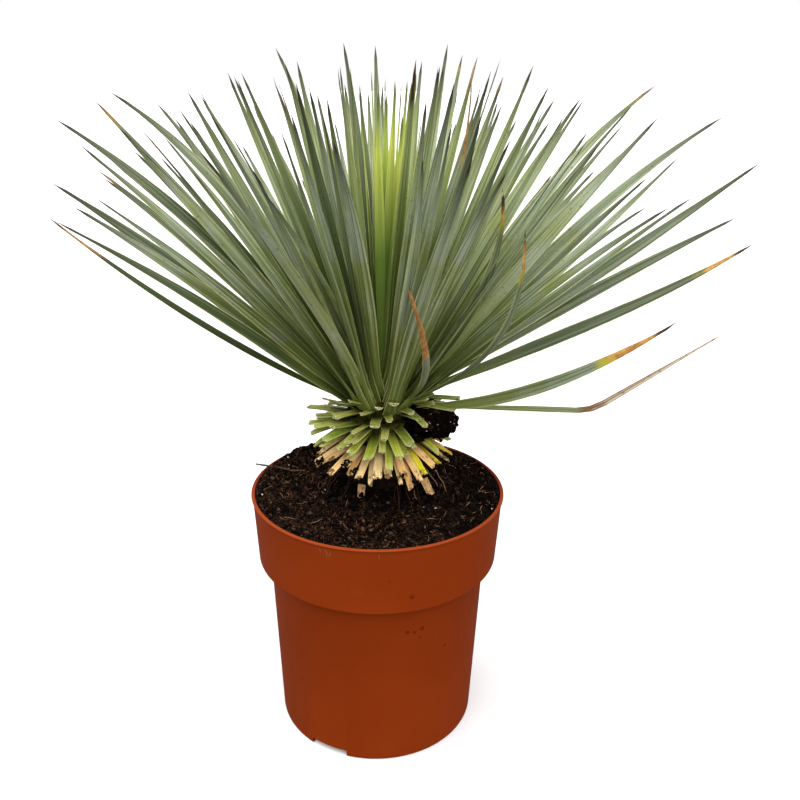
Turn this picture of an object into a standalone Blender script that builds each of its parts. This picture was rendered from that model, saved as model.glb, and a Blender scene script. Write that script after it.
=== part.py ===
"""A beaked yucca in a terracotta-coloured plastic nursery pot.

Metres, +Z up. The origin is the middle of the pot's flat bottom, and the side that the
photograph shows faces -Y. Azimuths run anticlockwise from +X, seen from above.
"""

import math
import random

import bmesh
import bpy
from mathutils import Matrix, Vector, noise
from mathutils.bvhtree import BVHTree

# Pot, a 24 cm nursery pot with a wide collar
POT_RIM_RADIUS = 0.120
POT_HEIGHT = 0.242
POT_WALL = 0.0016
POT_FLOOR = 0.0026
LIP_FLARE = 0.0015
LIP_DEPTH = 0.003
LIP_ROUNDING = 0.0007
COLLAR_TAPER = 0.0035
COLLAR_BOTTOM = 0.176
COLLAR_ROUNDING = 0.0015
SHOULDER_DROP = 0.004
SHOULDER_ROUNDING = 0.001
BODY_TOP_RADIUS = 0.104
BODY_BASE_RADIUS = 0.0969
BASE_ROUNDING = 0.002
POT_STEPS = 50

# Drain channels, open at the foot of the wall
CHANNEL_COUNT = 3
CHANNEL_AZIMUTH = math.radians(243)
CHANNEL_WIDTH = 0.038
CHANNEL_HEIGHT = 0.007
CHANNEL_INNER_RADIUS = 0.072
DRAIN_HOLE_RADIUS = 0.004
DRAIN_HOLE_PLACE = 0.083
DRAIN_HOLE_SIDES = 16

# Soil, filled nearly to the rim and mounded at the trunk
SOIL_EDGE = 0.2365
SOIL_RADIUS = 0.115
SOIL_MOUND = 0.012
SOIL_ROUGHNESS = 0.0022
SOIL_SMOOTH_EDGE = 0.020
SOIL_RINGS = 5
GAP = 0.0003

# Trunk, crown head and the levels where one node meets the next
AXIS_X = 0.004
AXIS_Y = 0.0
TRUNK_BOTTOM = 0.190
TRUNK_BOTTOM_RADIUS = 0.027
TRUNK_SOIL_RADIUS = 0.030
TRUNK_RADIUS = 0.034
TRUNK_FLARE_TOP = 0.262
TRUNK_TOP = 0.3010
NECK_TOP = 0.3195
HEAD_CENTRE = 0.331
HEAD_RADIUS = 0.030
HEAD_TOP = 0.3595
HEAD_RINGS = 6
CORE_STEPS = 24
BUD_RADIUS = 0.0075
BUD_TOP_RADIUS = 0.006
BUD_HEIGHT = 0.007

# Cut leaf stubs, two sets that hang from the trunk and the neck
STUB_LENGTH = 0.034
STUB_WIDTH = 0.0085
STUB_THICKNESS = 0.0022
STUB_SINK = 0.006
STUB_TAPER = 0.9
DRY_STUB_COUNT = 46
DRY_STUB_LEVELS = (0.2905, 0.2970)
DRY_STUB_SLOPES = (-36, -24)
DRY_STUB_SEED = 21
GREEN_STUB_COUNT = 64
GREEN_STUB_LEVELS = (0.3060, 0.3180)
GREEN_STUB_SLOPES = (-26, 14)
GREEN_STUB_SEED = 22

# Leaves
LEAF_COUNT = 127
LEAF_WIDTH = 0.0118
LEAF_THICKNESS = 0.0017
LEAF_THINNING = 0.45
LEAF_ROOT_WIDTH = 0.55
LEAF_SWELL = 0.35
LEAF_TAPER = 0.40
LEAF_TIP_POWER = 1.35
LEAF_SINK = 0.006
PATH_STEPS = 24
LEAF_STATIONS = (0, 5, 11, 17, 24)
STEEPEST_LEAF = 80
HIGHEST_ROOT = 64
LOWEST_ROOT = -8
LOWEST_SIDE_LEAF = 40
LOWEST_FRONT_LEAF = 53
FRONT_AZIMUTH = math.radians(268)
FRONT_SPREAD = 62
PARTING_PUSH = math.radians(12)
PARTING_WIDTH = math.radians(15)
THIN_AZIMUTH = math.radians(8)
THIN_SPREAD = math.radians(42)
THIN_START = 0.55
CENTRE_LEAF_LENGTH = 0.252
SIDE_LEAF_GAIN = 0.066
BEND_LATENESS = 1.5
KINK_LENGTH = 0.08
SIDE_ROLL = 50
ROLL_SHARE = 0.2
CROWN_LEAN = math.tan(math.radians(1.7))
GOLDEN_ANGLE = math.pi * (3 - math.sqrt(5))
LEAF_SEED = 6266

# Leaves that stand apart from the rest, placed one by one: azimuth, elevation at the root,
# change of elevation to the tip, change of azimuth to the tip, length, root latitude on the
# head, how late the change comes, the turn about the leaf's own length, and its width as a
# share of the others'
KEPT_LEAVES = (
    (11, -5, 34, 0, 0.328, -15, -0.5, 12, 0.75),
    (-18, 2, 39, 0, 0.245, -4, 0.7, 42, 1.0),
    (18, 17, 10, 0, 0.380, 2, 3.0, 50, 1.0),
    (13, 30, -6, 0, 0.346, 8, 0.8, 55, 1.0),
    (12, 31, 3, 0, 0.380, 12, 1.2, 60, 1.0),
    (198, 29, 15, 0, 0.296, 2, 1.0, -30, 0.8),
    (184, 40, -7, 0, 0.309, 8, 2.2, -62, 1.0),
    (184, 64, -32, 0, 0.324, 16, 2.0, -62, 1.0),
    (-55, 28, 25, -60, 0.206, 12, 0.7, 0, 0.6),
    (-42, 53, 50, 2, 0.222, 14, 3.2, -35, 0.8),
    (-52, 30, 72, -9, 0.240, 10, 2.3, -5, 0.8),
    (-112, 52, -8, -8, 0.310, 14, 0.8, 0, 1.0),
    (-60, 60, 6, -30, 0.300, 24, 1.6, 35, 1.0),
    (177, 51, -20, 0, 0.345, 8, 1.8, -62, 1.0),
    (180, 52, -4, 0, 0.325, 16, 1.2, -58, 1.0),
    (160, 59, -14, 0, 0.315, 8, 1.2, -50, 1.0),
    (-7, 51, -17, 0, 0.345, 12, 2.4, 55, 1.0),
    (12, 59, -24, 0, 0.340, 16, 2.4, 55, 1.0),
    (141, 78, -24, 0, 0.308, 24, 2.4, -40, 1.0),
    (116, 84, -19, 0, 0.296, 40, 1.8, -20, 1.0),
    (97, 84, -19, 0, 0.294, 40, 1.8, -10, 1.0),
    (52, 78, -2, 0, 0.292, 46, 1.2, 20, 1.0),
    (58, 70, -2, 0, 0.300, 36, 2.4, 15, 1.0),
    (-11, 78, -1, 0, 0.276, 30, 1.2, 40, 1.0),
    (247, 57, -18, 0, 0.258, 26, 1.6, -14, 1.15),
    (262, 61, -19, 0, 0.284, 28, 1.6, -10, 1.1),
    (283, 56, 24, 0, 0.242, 16, 1.6, 14, 1.0),
)

# Young leaves at the growing point
YOUNG_COUNT = 12
YOUNG_LENGTH = 0.25
YOUNG_WIDTH = 0.009
YOUNG_ROOT_RING = 0.0045
YOUNG_SLOPES = (89, 82)
YOUNG_SEED = 5

# Peat clod caught on the stubs, and the dry twig on the soil
CLOD_AZIMUTH = math.radians(-20)
CLOD_DISTANCE = 0.0550
CLOD_START_HEIGHT = 0.3450
CLOD_HALF_SIZE = (0.0182, 0.0195, 0.0122)
CLOD_SECTOR = math.radians(34)
CLOD_STUB_SHARE = 0.25
CLOD_ROUGHNESS = 0.20
SEAT_STEP = 0.0001

# The twig's route: place on the soil, and how far the point stands above the lowest one
TWIG_RADIUS = 0.0009
TWIG_DROP = 0.020
TWIG_ROUTE = (
    (-0.123, 0.037, 0.0040),
    (-0.111, 0.039, 0.0010),
    (-0.099, 0.0375, 0.0),
    (-0.086, 0.031, 0.0),
    (-0.073, 0.029, 0.0015),
)

# Colours, roughness
POT_COLOUR = (0.26, 0.042, 0.011, 1)
SOIL_COLOUR = (0.012, 0.007, 0.005, 1)
DRY_COLOUR = (0.45, 0.30, 0.12, 1)
GREEN_STUB_COLOUR = (0.13, 0.17, 0.03, 1)
LEAF_COLOUR = (0.12, 0.16, 0.08, 1)
YOUNG_COLOUR = (0.38, 0.45, 0.12, 1)
TWIG_COLOUR = (0.05, 0.03, 0.02, 1)


def remove_everything():
    for thing in list(bpy.data.objects):
        bpy.data.objects.remove(thing, do_unlink=True)


def make_collection(name):
    collection = bpy.data.collections.new(name)
    bpy.context.scene.collection.children.link(collection)
    return collection


def make_material(name, colour, roughness):
    material = bpy.data.materials.new(name)
    material.use_nodes = True
    shader = material.node_tree.nodes["Principled BSDF"]
    shader.inputs["Base Color"].default_value = colour
    shader.inputs["Roughness"].default_value = roughness
    material.diffuse_color = colour
    return material


def add_object(name, mesh, collection, material=None):
    thing = bpy.data.objects.new(name, mesh)
    collection.objects.link(thing)
    if material:
        mesh.materials.append(material)
    return thing


def mesh_from_bmesh(name, bm):
    bmesh.ops.recalc_face_normals(bm, faces=bm.faces)
    mesh = bpy.data.meshes.new(name)
    bm.to_mesh(mesh)
    bm.free()
    return mesh


def turned(name, profile, steps, collection, material=None, centre=(0.0, 0.0)):
    """Turn a profile of (radius, height) points round a vertical axis, and apply it."""
    mesh = bpy.data.meshes.new(name)
    points = [(radius, 0.0, height) for radius, height in profile]
    mesh.from_pydata(points, [(i, i + 1) for i in range(len(points) - 1)], [])
    thing = add_object(name, mesh, collection, material)
    screw = thing.modifiers.new("Turn", "SCREW")
    screw.axis = "Z"
    screw.steps = steps
    screw.render_steps = steps
    screw.use_merge_vertices = True
    screw.merge_threshold = 0.00005
    bake(thing)
    thing.data.transform(Matrix.Translation((centre[0], centre[1], 0.0)))
    return thing


def bake(thing):
    """Apply the object's modifiers."""
    graph = bpy.context.evaluated_depsgraph_get()
    graph.update()
    mesh = bpy.data.meshes.new_from_object(thing.evaluated_get(graph))
    thing.modifiers.clear()
    old = thing.data
    thing.data = mesh
    bpy.data.meshes.remove(old)
    mesh.name = thing.name


def boolean(thing, other, operation):
    """Join a cutter or a block with a thing, or cut it away, and remove it."""
    modifier = thing.modifiers.new(operation.title(), "BOOLEAN")
    modifier.operation = operation
    modifier.object = other
    bake(thing)
    bpy.data.objects.remove(other, do_unlink=True)


def fuse(core, blades):
    """Join every solid of a collection with the core, and remove the collection."""
    modifier = core.modifiers.new("Fuse", "BOOLEAN")
    modifier.operation = "UNION"
    modifier.operand_type = "COLLECTION"
    modifier.collection = blades
    modifier.solver = "MANIFOLD"
    bake(core)
    keep_outer_skin(core.data)
    for blade in list(blades.objects):
        bpy.data.objects.remove(blade, do_unlink=True)
    bpy.data.collections.remove(blades)


def keep_outer_skin(mesh):
    """Fill what the joined blades enclose: keep the largest skin and delete the others."""
    bm = bmesh.new()
    bm.from_mesh(mesh)
    left = set(bm.verts)
    skins = []
    while left:
        skin = {left.pop()}
        edge = set(skin)
        while edge:
            edge = {link.other_vert(vert) for vert in edge for link in vert.link_edges} - skin
            skin |= edge
        left -= skin
        skins.append(skin)
    skins.sort(key=len)
    inner = [vert for skin in skins[:-1] for vert in skin]
    bmesh.ops.delete(bm, geom=inner, context="VERTS")
    bm.to_mesh(mesh)
    bm.free()


def arc(centre, radius, start, end, count):
    """Points on a circle's arc in the profile plane, angles in degrees from outward."""
    angles = [math.radians(start + (end - start) * i / count) for i in range(count + 1)]
    return [
        (centre[0] + radius * math.cos(a), centre[1] + radius * math.sin(a)) for a in angles
    ]


def slope_between(low, high, height):
    """Radius on the straight line between two (radius, height) points."""
    share = (height - low[1]) / (high[1] - low[1])
    return low[0] + (high[0] - low[0]) * share


def pot_outer_profile():
    """The pot's outer side from the rim to the foot."""
    collar_top = POT_RIM_RADIUS - LIP_FLARE
    collar_foot = POT_RIM_RADIUS - LIP_FLARE - COLLAR_TAPER
    body_top = COLLAR_BOTTOM - SHOULDER_DROP
    lip = (POT_RIM_RADIUS - LIP_ROUNDING, POT_HEIGHT - LIP_ROUNDING)
    points = arc(lip, LIP_ROUNDING, 90, 0, 2)
    points += [(collar_top, POT_HEIGHT - LIP_DEPTH)]
    corner = (collar_foot - COLLAR_ROUNDING, COLLAR_BOTTOM + COLLAR_ROUNDING)
    points += arc(corner, COLLAR_ROUNDING, 0, -80, 3)
    points += [(BODY_TOP_RADIUS + SHOULDER_ROUNDING, body_top + SHOULDER_ROUNDING)]
    points += [(BODY_TOP_RADIUS, body_top - SHOULDER_ROUNDING)]
    foot = (BODY_BASE_RADIUS - BASE_ROUNDING, BASE_ROUNDING)
    points += arc(foot, BASE_ROUNDING, 0, -90, 3)
    return points


def pot_inner_radius(height):
    """Radius of the pot's inner side, which steps in behind the collar's foot."""
    body_top = (BODY_TOP_RADIUS - POT_WALL, COLLAR_BOTTOM - SHOULDER_DROP)
    step_top = (POT_RIM_RADIUS - LIP_FLARE - COLLAR_TAPER - POT_WALL, COLLAR_BOTTOM + POT_WALL)
    rim = (POT_RIM_RADIUS - LIP_FLARE - POT_WALL, POT_HEIGHT)
    foot = (BODY_BASE_RADIUS - POT_WALL, POT_FLOOR)
    if height <= body_top[1]:
        return slope_between(foot, body_top, height)
    if height <= step_top[1]:
        return slope_between(body_top, step_top, height)
    return slope_between(step_top, rim, height)


def inner_side(heights, gap):
    """Profile points up the pot's inner side, moved inwards by a gap."""
    return [(pot_inner_radius(height) - gap, height) for height in heights]


def channel_block(grow, outer_radius):
    """Three boxes across the foot of the wall, where the pot drains."""
    bm = bmesh.new()
    for i in range(CHANNEL_COUNT):
        length = outer_radius - CHANNEL_INNER_RADIUS + grow
        width = CHANNEL_WIDTH + 2 * grow
        top = CHANNEL_HEIGHT + grow
        foot = -POT_FLOOR
        box = bmesh.ops.create_cube(bm, size=1.0)
        middle = CHANNEL_INNER_RADIUS - grow + length / 2
        bmesh.ops.scale(bm, vec=(length, width, top - foot), verts=box["verts"])
        bmesh.ops.translate(bm, vec=(middle, 0, (top + foot) / 2), verts=box["verts"])
        turn = Matrix.Rotation(CHANNEL_AZIMUTH + i * math.tau / CHANNEL_COUNT, 4, "Z")
        bmesh.ops.transform(bm, matrix=turn, verts=box["verts"])
    return mesh_from_bmesh("channel", bm)


def drain_holes():
    """A round hole through each channel's ceiling."""
    bm = bmesh.new()
    for i in range(CHANNEL_COUNT):
        azimuth = CHANNEL_AZIMUTH + i * math.tau / CHANNEL_COUNT
        place = (DRAIN_HOLE_PLACE * math.cos(azimuth), DRAIN_HOLE_PLACE * math.sin(azimuth))
        bmesh.ops.create_cone(
            bm,
            cap_ends=True,
            segments=DRAIN_HOLE_SIDES,
            radius1=DRAIN_HOLE_RADIUS,
            radius2=DRAIN_HOLE_RADIUS,
            depth=CHANNEL_HEIGHT,
            matrix=Matrix.Translation((place[0], place[1], CHANNEL_HEIGHT)),
        )
    return mesh_from_bmesh("drain_holes", bm)


def build_pot(parts, cutters):
    body_top = COLLAR_BOTTOM - SHOULDER_DROP
    inner = inner_side((POT_FLOOR, body_top, COLLAR_BOTTOM + POT_WALL, POT_HEIGHT), 0.0)
    profile = [(0.0, POT_FLOOR)] + inner + pot_outer_profile() + [(0.0, 0.0)]
    material = make_material("pot_plastic", POT_COLOUR, 0.45)
    pot = turned("pot", profile, POT_STEPS, parts, material)
    raised = add_object("raised", channel_block(POT_WALL, BODY_BASE_RADIUS), cutters)
    trim_below_floor(raised.data)
    inside = BODY_BASE_RADIUS - POT_WALL / 2
    can = [(0.0, POT_HEIGHT), (inside, POT_HEIGHT), (inside, -POT_HEIGHT), (0.0, -POT_HEIGHT)]
    boolean(raised, turned("can", can, POT_STEPS, cutters), "INTERSECT")
    boolean(pot, raised, "UNION")
    channels = channel_block(0.0, BODY_TOP_RADIUS)
    boolean(pot, add_object("channels", channels, cutters), "DIFFERENCE")
    boolean(pot, add_object("holes", drain_holes(), cutters), "DIFFERENCE")
    pot.data.shade_smooth()
    pot.data.set_sharp_from_angle(angle=math.radians(25))
    return pot


def trim_below_floor(mesh):
    """Lift the lowest corners of the raised blocks to the middle of the pot's floor."""
    for vertex in mesh.vertices:
        vertex.co.z = max(vertex.co.z, POT_FLOOR / 2)


def soil_height(x, y):
    """Height of the soil's surface: a mound round the trunk with lumps."""
    share = min(1.0, math.hypot(x - AXIS_X, y - AXIS_Y) / SOIL_RADIUS)
    mound = SOIL_MOUND * (1 - share) ** 1.3
    coarse = noise.noise(Vector((x, y, 0.0)) * 45)
    fine = noise.noise(Vector((x, y, 3.0)) * 110) / 2
    edge = min(1.0, (POT_RIM_RADIUS - math.hypot(x, y)) / SOIL_SMOOTH_EDGE)
    return SOIL_EDGE + mound + SOIL_ROUGHNESS * (coarse + fine) * edge


def build_soil(parts, cutters):
    body_top = COLLAR_BOTTOM - SHOULDER_DROP
    heights = (POT_FLOOR + GAP, body_top, COLLAR_BOTTOM + POT_WALL, SOIL_EDGE)
    side = inner_side(heights, GAP)
    side.reverse()
    top_radius = side[0][0]
    top = [(top_radius * i / SOIL_RINGS, SOIL_EDGE) for i in range(SOIL_RINGS)]
    profile = top + side + [(0.0, POT_FLOOR + GAP)]
    material = make_material("peat_soil", SOIL_COLOUR, 0.95)
    soil = turned("soil", profile, POT_STEPS, parts, material)
    for vertex in soil.data.vertices:
        if vertex.co.z > SOIL_EDGE - GAP:
            vertex.co.z = soil_height(vertex.co.x, vertex.co.y)
    channels = channel_block(POT_WALL + GAP, BODY_TOP_RADIUS)
    boolean(soil, add_object("channels", channels, cutters), "DIFFERENCE")
    hole = trunk_profile(GAP)
    cutter = turned("trunk_hole", hole, CORE_STEPS, cutters, None, (AXIS_X, AXIS_Y))
    boolean(soil, cutter, "DIFFERENCE")
    return soil


def direction(azimuth, elevation):
    return Vector(
        (
            math.cos(elevation) * math.cos(azimuth),
            math.cos(elevation) * math.sin(azimuth),
            math.sin(elevation),
        )
    )


def curve_path(start, azimuth, elevation, bend, sweep, length, lateness):
    """Points and headings along a leaf that bends late, or at one place if that is negative."""
    points = [Vector(start)]
    headings = [direction(azimuth, elevation)]
    for i in range(PATH_STEPS):
        share = (i + 0.5) / PATH_STEPS
        if lateness < 0:
            share = min(1.0, max(0.0, (share + lateness) / KINK_LENGTH))
        else:
            share = share**lateness
        heading = direction(azimuth + sweep * share, elevation + bend * share)
        points.append(points[-1] + heading * (length / PATH_STEPS))
        headings.append(heading)
    return points, headings


def loft(name, rings, tip=None):
    """A closed skin over rings of points, with a flat root and a flat or pointed end."""
    bm = bmesh.new()
    levels = [[bm.verts.new(point) for point in ring] for ring in rings]
    bm.faces.new(levels[0])
    sides = len(levels[0])
    for low, high in zip(levels, levels[1:]):
        for i in range(sides):
            j = (i + 1) % sides
            bm.faces.new((low[i], low[j], high[j], high[i]))
    if tip is None:
        bm.faces.new(levels[-1])
    else:
        end = bm.verts.new(tip)
        for i in range(sides):
            bm.faces.new((levels[-1][i], levels[-1][(i + 1) % sides], end))
    bmesh.ops.triangulate(bm, faces=bm.faces)
    return mesh_from_bmesh(name, bm)


def across(heading, azimuth, twist):
    """The width and thickness directions of a blade that heads a given way."""
    side = Vector((-math.sin(azimuth), math.cos(azimuth), 0.0))
    side = (side - heading * side.dot(heading)).normalized()
    up = heading.cross(side).normalized()
    turn = Matrix.Rotation(twist, 3, heading)
    return turn @ side, turn @ up


def leaf_width(share):
    """Width of a leaf as a share of its widest, from root (0) to tip (1)."""
    if share < LEAF_SWELL:
        return LEAF_ROOT_WIDTH + (1 - LEAF_ROOT_WIDTH) * share / LEAF_SWELL
    if share < LEAF_TAPER:
        return 1.0
    return 1 - ((share - LEAF_TAPER) / (1 - LEAF_TAPER)) ** LEAF_TIP_POWER


def blade(name, leaf, collection):
    """A long leaf: a flat lozenge section that narrows to a point."""
    points, headings = leaf["path"]
    rings = []
    for station in LEAF_STATIONS[:-1]:
        share = station / PATH_STEPS
        turn = leaf["roll"] * min(1.0, share / ROLL_SHARE) + leaf["twist"] * share
        side, up = across(headings[station], leaf["azimuth"], turn)
        half = leaf["width"] / 2 * leaf_width(share)
        deep = LEAF_THICKNESS / 2 * (1 - LEAF_THINNING * share)
        centre = points[station]
        if station == 0:
            centre = centre - headings[0] * LEAF_SINK
        rings.append(
            [centre + side * half, centre + up * deep, centre - side * half, centre - up * deep]
        )
    return add_object(name, loft(name, rings, points[-1]), collection)


def head_point(azimuth, latitude):
    """A point on the crown's head."""
    centre = Vector((AXIS_X, AXIS_Y, HEAD_CENTRE))
    return centre + HEAD_RADIUS * direction(azimuth, latitude)


def facing_front(azimuth):
    """1 for a leaf that faces the front, 0 for one that faces away from it."""
    turn = math.degrees(abs((azimuth - FRONT_AZIMUTH + math.pi) % math.tau - math.pi))
    share = max(0.0, 1 - turn / FRONT_SPREAD)
    return min(1.0, 2 * share) ** 1.5


def parted(azimuth):
    """Push a leaf aside from the parting at the front, where the young leaves show."""
    turn = (azimuth - FRONT_AZIMUTH + math.pi) % math.tau - math.pi
    push = PARTING_PUSH * math.exp(-((turn / PARTING_WIDTH) ** 2))
    return azimuth + math.copysign(push, turn)


def leaned(path):
    """A leaf's path as it leans with the crown."""
    points, headings = path
    base = points[0].z
    return [point + Vector((CROWN_LEAN * (point.z - base), 0, 0)) for point in points], headings


def crown_rule():
    """Every leaf of the crown in turn, from the steep inner ones to the low outer ones."""
    rng = random.Random(LEAF_SEED)
    leaves = []
    for i in range(LEAF_COUNT):
        azimuth = parted(i * GOLDEN_ANGLE + rng.uniform(-0.10, 0.10))
        front = facing_front(azimuth)
        lowest = LOWEST_SIDE_LEAF + (LOWEST_FRONT_LEAF - LOWEST_SIDE_LEAF) * front
        share = (i + 0.5) / LEAF_COUNT
        top = math.sin(math.radians(STEEPEST_LEAF))
        low = math.sin(math.radians(lowest))
        elevation = math.asin(top - share * (top - low))
        root_top = math.sin(math.radians(HIGHEST_ROOT))
        root_low = math.sin(math.radians(LOWEST_ROOT))
        latitude = math.asin(root_top - share * (root_top - root_low))
        spread = math.cos(elevation)
        bend = math.radians(rng.uniform(-15, 5) * spread - 1)
        sweep = math.radians(rng.uniform(-6, 6))
        length = (CENTRE_LEAF_LENGTH + SIDE_LEAF_GAIN * spread) * rng.uniform(0.93, 1.05)
        twist = math.radians(rng.uniform(-35, 35))
        elevation += math.radians(rng.uniform(-3, 3)) * spread
        roll = math.radians(SIDE_ROLL * math.cos(azimuth) + rng.uniform(-26, 26))
        breadth = LEAF_WIDTH * rng.uniform(0.82, 1.06)
        start = head_point(azimuth, latitude)
        path = curve_path(start, azimuth, elevation, bend, sweep, length, BEND_LATENESS)
        leaf = {"azimuth": azimuth, "twist": twist, "roll": roll, "width": breadth}
        leaf["path"] = leaned(path)
        turn = abs((azimuth - THIN_AZIMUTH + math.pi) % math.tau - math.pi)
        if i % 2 == 0 or share < THIN_START or turn > THIN_SPREAD:
            leaves.append(leaf)
    return leaves


def kept_rule():
    """The leaves that are placed one by one."""
    leaves = []
    for azimuth, elevation, bend, sweep, length, latitude, lateness, roll, width in KEPT_LEAVES:
        azimuth = math.radians(azimuth)
        start = head_point(azimuth, math.radians(latitude))
        turns = [math.radians(angle) for angle in (elevation, bend, sweep)]
        path = curve_path(start, azimuth, *turns, length, lateness)
        leaf = {"azimuth": azimuth, "twist": 0.0, "roll": math.radians(roll)}
        leaf.update(width=LEAF_WIDTH * width, path=path)
        leaves.append(leaf)
    return leaves


def young_rule():
    """The spears at the growing point."""
    rng = random.Random(YOUNG_SEED)
    leaves = []
    for i in range(YOUNG_COUNT):
        share = (i + 0.5) / YOUNG_COUNT
        azimuth = i * GOLDEN_ANGLE
        start = Vector((AXIS_X, AXIS_Y, HEAD_TOP + GAP + BUD_HEIGHT))
        start += direction(azimuth, 0.0) * (YOUNG_ROOT_RING * math.sqrt(share))
        slope = YOUNG_SLOPES[0] + (YOUNG_SLOPES[1] - YOUNG_SLOPES[0]) * share
        length = YOUNG_LENGTH * rng.uniform(0.85, 1.0)
        twist = math.radians(rng.uniform(-40, 40))
        path = curve_path(start, azimuth, math.radians(slope), 0.0, 0.0, length, BEND_LATENESS)
        leaf = {"azimuth": azimuth, "twist": twist, "roll": 0.0, "width": YOUNG_WIDTH}
        leaf["path"] = leaned(path)
        leaves.append(leaf)
    return leaves


def build_crown(parts):
    head = HEAD_RADIUS
    profile = [(0.0, HEAD_TOP)]
    for i in range(HEAD_RINGS + 1):
        height = HEAD_TOP + (NECK_TOP + GAP - HEAD_TOP) * i / HEAD_RINGS
        profile.append((math.sqrt(head**2 - (height - HEAD_CENTRE) ** 2), height))
    profile.append((0.0, NECK_TOP + GAP))
    material = make_material("leaf", LEAF_COLOUR, 0.5)
    core = turned("crown_leaves", profile, CORE_STEPS, parts, material, (AXIS_X, AXIS_Y))
    blades = make_collection("crown_blades")
    for i, leaf in enumerate(crown_rule() + kept_rule()):
        blade(f"leaf_{i}", leaf, blades)
    fuse(core, blades)
    return core


def build_young(parts):
    base = HEAD_TOP + GAP
    top = base + BUD_HEIGHT
    profile = [(0.0, top), (BUD_TOP_RADIUS, top), (BUD_RADIUS, base), (0.0, base)]
    material = make_material("young_leaf", YOUNG_COLOUR, 0.5)
    core = turned("young_leaves", profile, CORE_STEPS, parts, material, (AXIS_X, AXIS_Y))
    blades = make_collection("young_blades")
    for i, leaf in enumerate(young_rule()):
        blade(f"young_{i}", leaf, blades)
    fuse(core, blades)
    return core


def clear_of_clod(azimuth):
    """False in the sector where the clod lies on the lower green stubs."""
    turn = abs((azimuth - CLOD_AZIMUTH + math.pi) % math.tau - math.pi)
    return turn > CLOD_SECTOR


def stub(name, azimuth, level, slope, length, twist, collection):
    """A leaf cut off short: a flat box that narrows a little to its cut end."""
    root = Vector((AXIS_X, AXIS_Y, level)) + direction(azimuth, 0.0) * TRUNK_RADIUS
    heading = direction(azimuth, slope)
    side, up = across(heading, azimuth, twist)
    rings = []
    for reach, taper in ((-STUB_SINK, 1.0), (length, STUB_TAPER)):
        centre = root + heading * reach
        half = side * (STUB_WIDTH / 2 * taper)
        deep = up * (STUB_THICKNESS / 2 * taper)
        corners = (half + deep, deep - half, -half - deep, half - deep)
        rings.append([centre + corner for corner in corners])
    return add_object(name, loft(name, rings), collection)


def stub_set(core, count, levels, slopes, seed, avoid_clod):
    """Stubs in a spiral down the trunk, each level more hanging than the one above."""
    rng = random.Random(seed)
    blades = make_collection(core.name + "_stubs")
    for i in range(count):
        share = (i + 0.5) / count
        azimuth = i * GOLDEN_ANGLE + rng.uniform(-0.08, 0.08)
        level = levels[0] + (levels[1] - levels[0]) * share
        slope = slopes[0] + (slopes[1] - slopes[0]) * share + rng.uniform(-3, 3)
        length = STUB_LENGTH * rng.uniform(0.84, 1.1)
        twist = math.radians(rng.uniform(-14, 14))
        if avoid_clod and share > CLOD_STUB_SHARE and not clear_of_clod(azimuth):
            continue
        stub(f"stub_{i}", azimuth, level, math.radians(slope), length, twist, blades)
    fuse(core, blades)


def trunk_profile(grow):
    """The trunk's outline from its top to its foot in the soil, or the hole for it."""
    return [
        (0.0, TRUNK_TOP + grow),
        (TRUNK_RADIUS + grow, TRUNK_TOP + grow),
        (TRUNK_RADIUS + grow, TRUNK_FLARE_TOP),
        (TRUNK_SOIL_RADIUS + grow, SOIL_EDGE),
        (TRUNK_BOTTOM_RADIUS + grow, TRUNK_BOTTOM - grow),
        (0.0, TRUNK_BOTTOM - grow),
    ]


def build_trunk(parts):
    profile = trunk_profile(0.0)
    material = make_material("dry_stub", DRY_COLOUR, 0.8)
    core = turned("trunk", profile, CORE_STEPS, parts, material, (AXIS_X, AXIS_Y))
    stub_set(core, DRY_STUB_COUNT, DRY_STUB_LEVELS, DRY_STUB_SLOPES, DRY_STUB_SEED, False)
    return core


def build_neck(parts):
    profile = [
        (0.0, NECK_TOP),
        (TRUNK_RADIUS, NECK_TOP),
        (TRUNK_RADIUS, TRUNK_TOP + GAP),
        (0.0, TRUNK_TOP + GAP),
    ]
    material = make_material("green_stub", GREEN_STUB_COLOUR, 0.6)
    core = turned("green_stubs", profile, CORE_STEPS, parts, material, (AXIS_X, AXIS_Y))
    stub_set(core, GREEN_STUB_COUNT, GREEN_STUB_LEVELS, GREEN_STUB_SLOPES, GREEN_STUB_SEED, True)
    return core


def seat(thing, *carriers):
    """Lower a thing until it meets what carries it, then lift it clear by the gap."""
    trees = [BVHTree.FromPolygons(*polygons(carrier)) for carrier in carriers]
    while not any(tree.overlap(BVHTree.FromPolygons(*polygons(thing))) for tree in trees):
        thing.data.transform(Matrix.Translation((0, 0, -SEAT_STEP)))
    thing.data.transform(Matrix.Translation((0, 0, SEAT_STEP + GAP)))


def polygons(thing):
    vertices = [vertex.co for vertex in thing.data.vertices]
    return vertices, [tuple(face.vertices) for face in thing.data.polygons]


def build_clod(parts, trunk, neck):
    bm = bmesh.new()
    bmesh.ops.create_icosphere(bm, subdivisions=3, radius=1.0)
    for vertex in bm.verts:
        lump = noise.noise(vertex.co * 1.7) + 0.5 * noise.noise(vertex.co * 4.1)
        vertex.co *= 1 + CLOD_ROUGHNESS * lump
    bmesh.ops.scale(bm, vec=CLOD_HALF_SIZE, verts=bm.verts)
    centre = direction(CLOD_AZIMUTH, 0.0) * CLOD_DISTANCE
    place = (AXIS_X + centre.x, AXIS_Y + centre.y, CLOD_START_HEIGHT)
    place = Matrix.Translation(place)
    bmesh.ops.transform(bm, matrix=place @ Matrix.Rotation(CLOD_AZIMUTH, 4, "Z"), verts=bm.verts)
    material = make_material("peat_clod", SOIL_COLOUR, 0.95)
    clod = add_object("peat_clod", mesh_from_bmesh("peat_clod", bm), parts, material)
    seat(clod, trunk, neck)
    return clod


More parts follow.
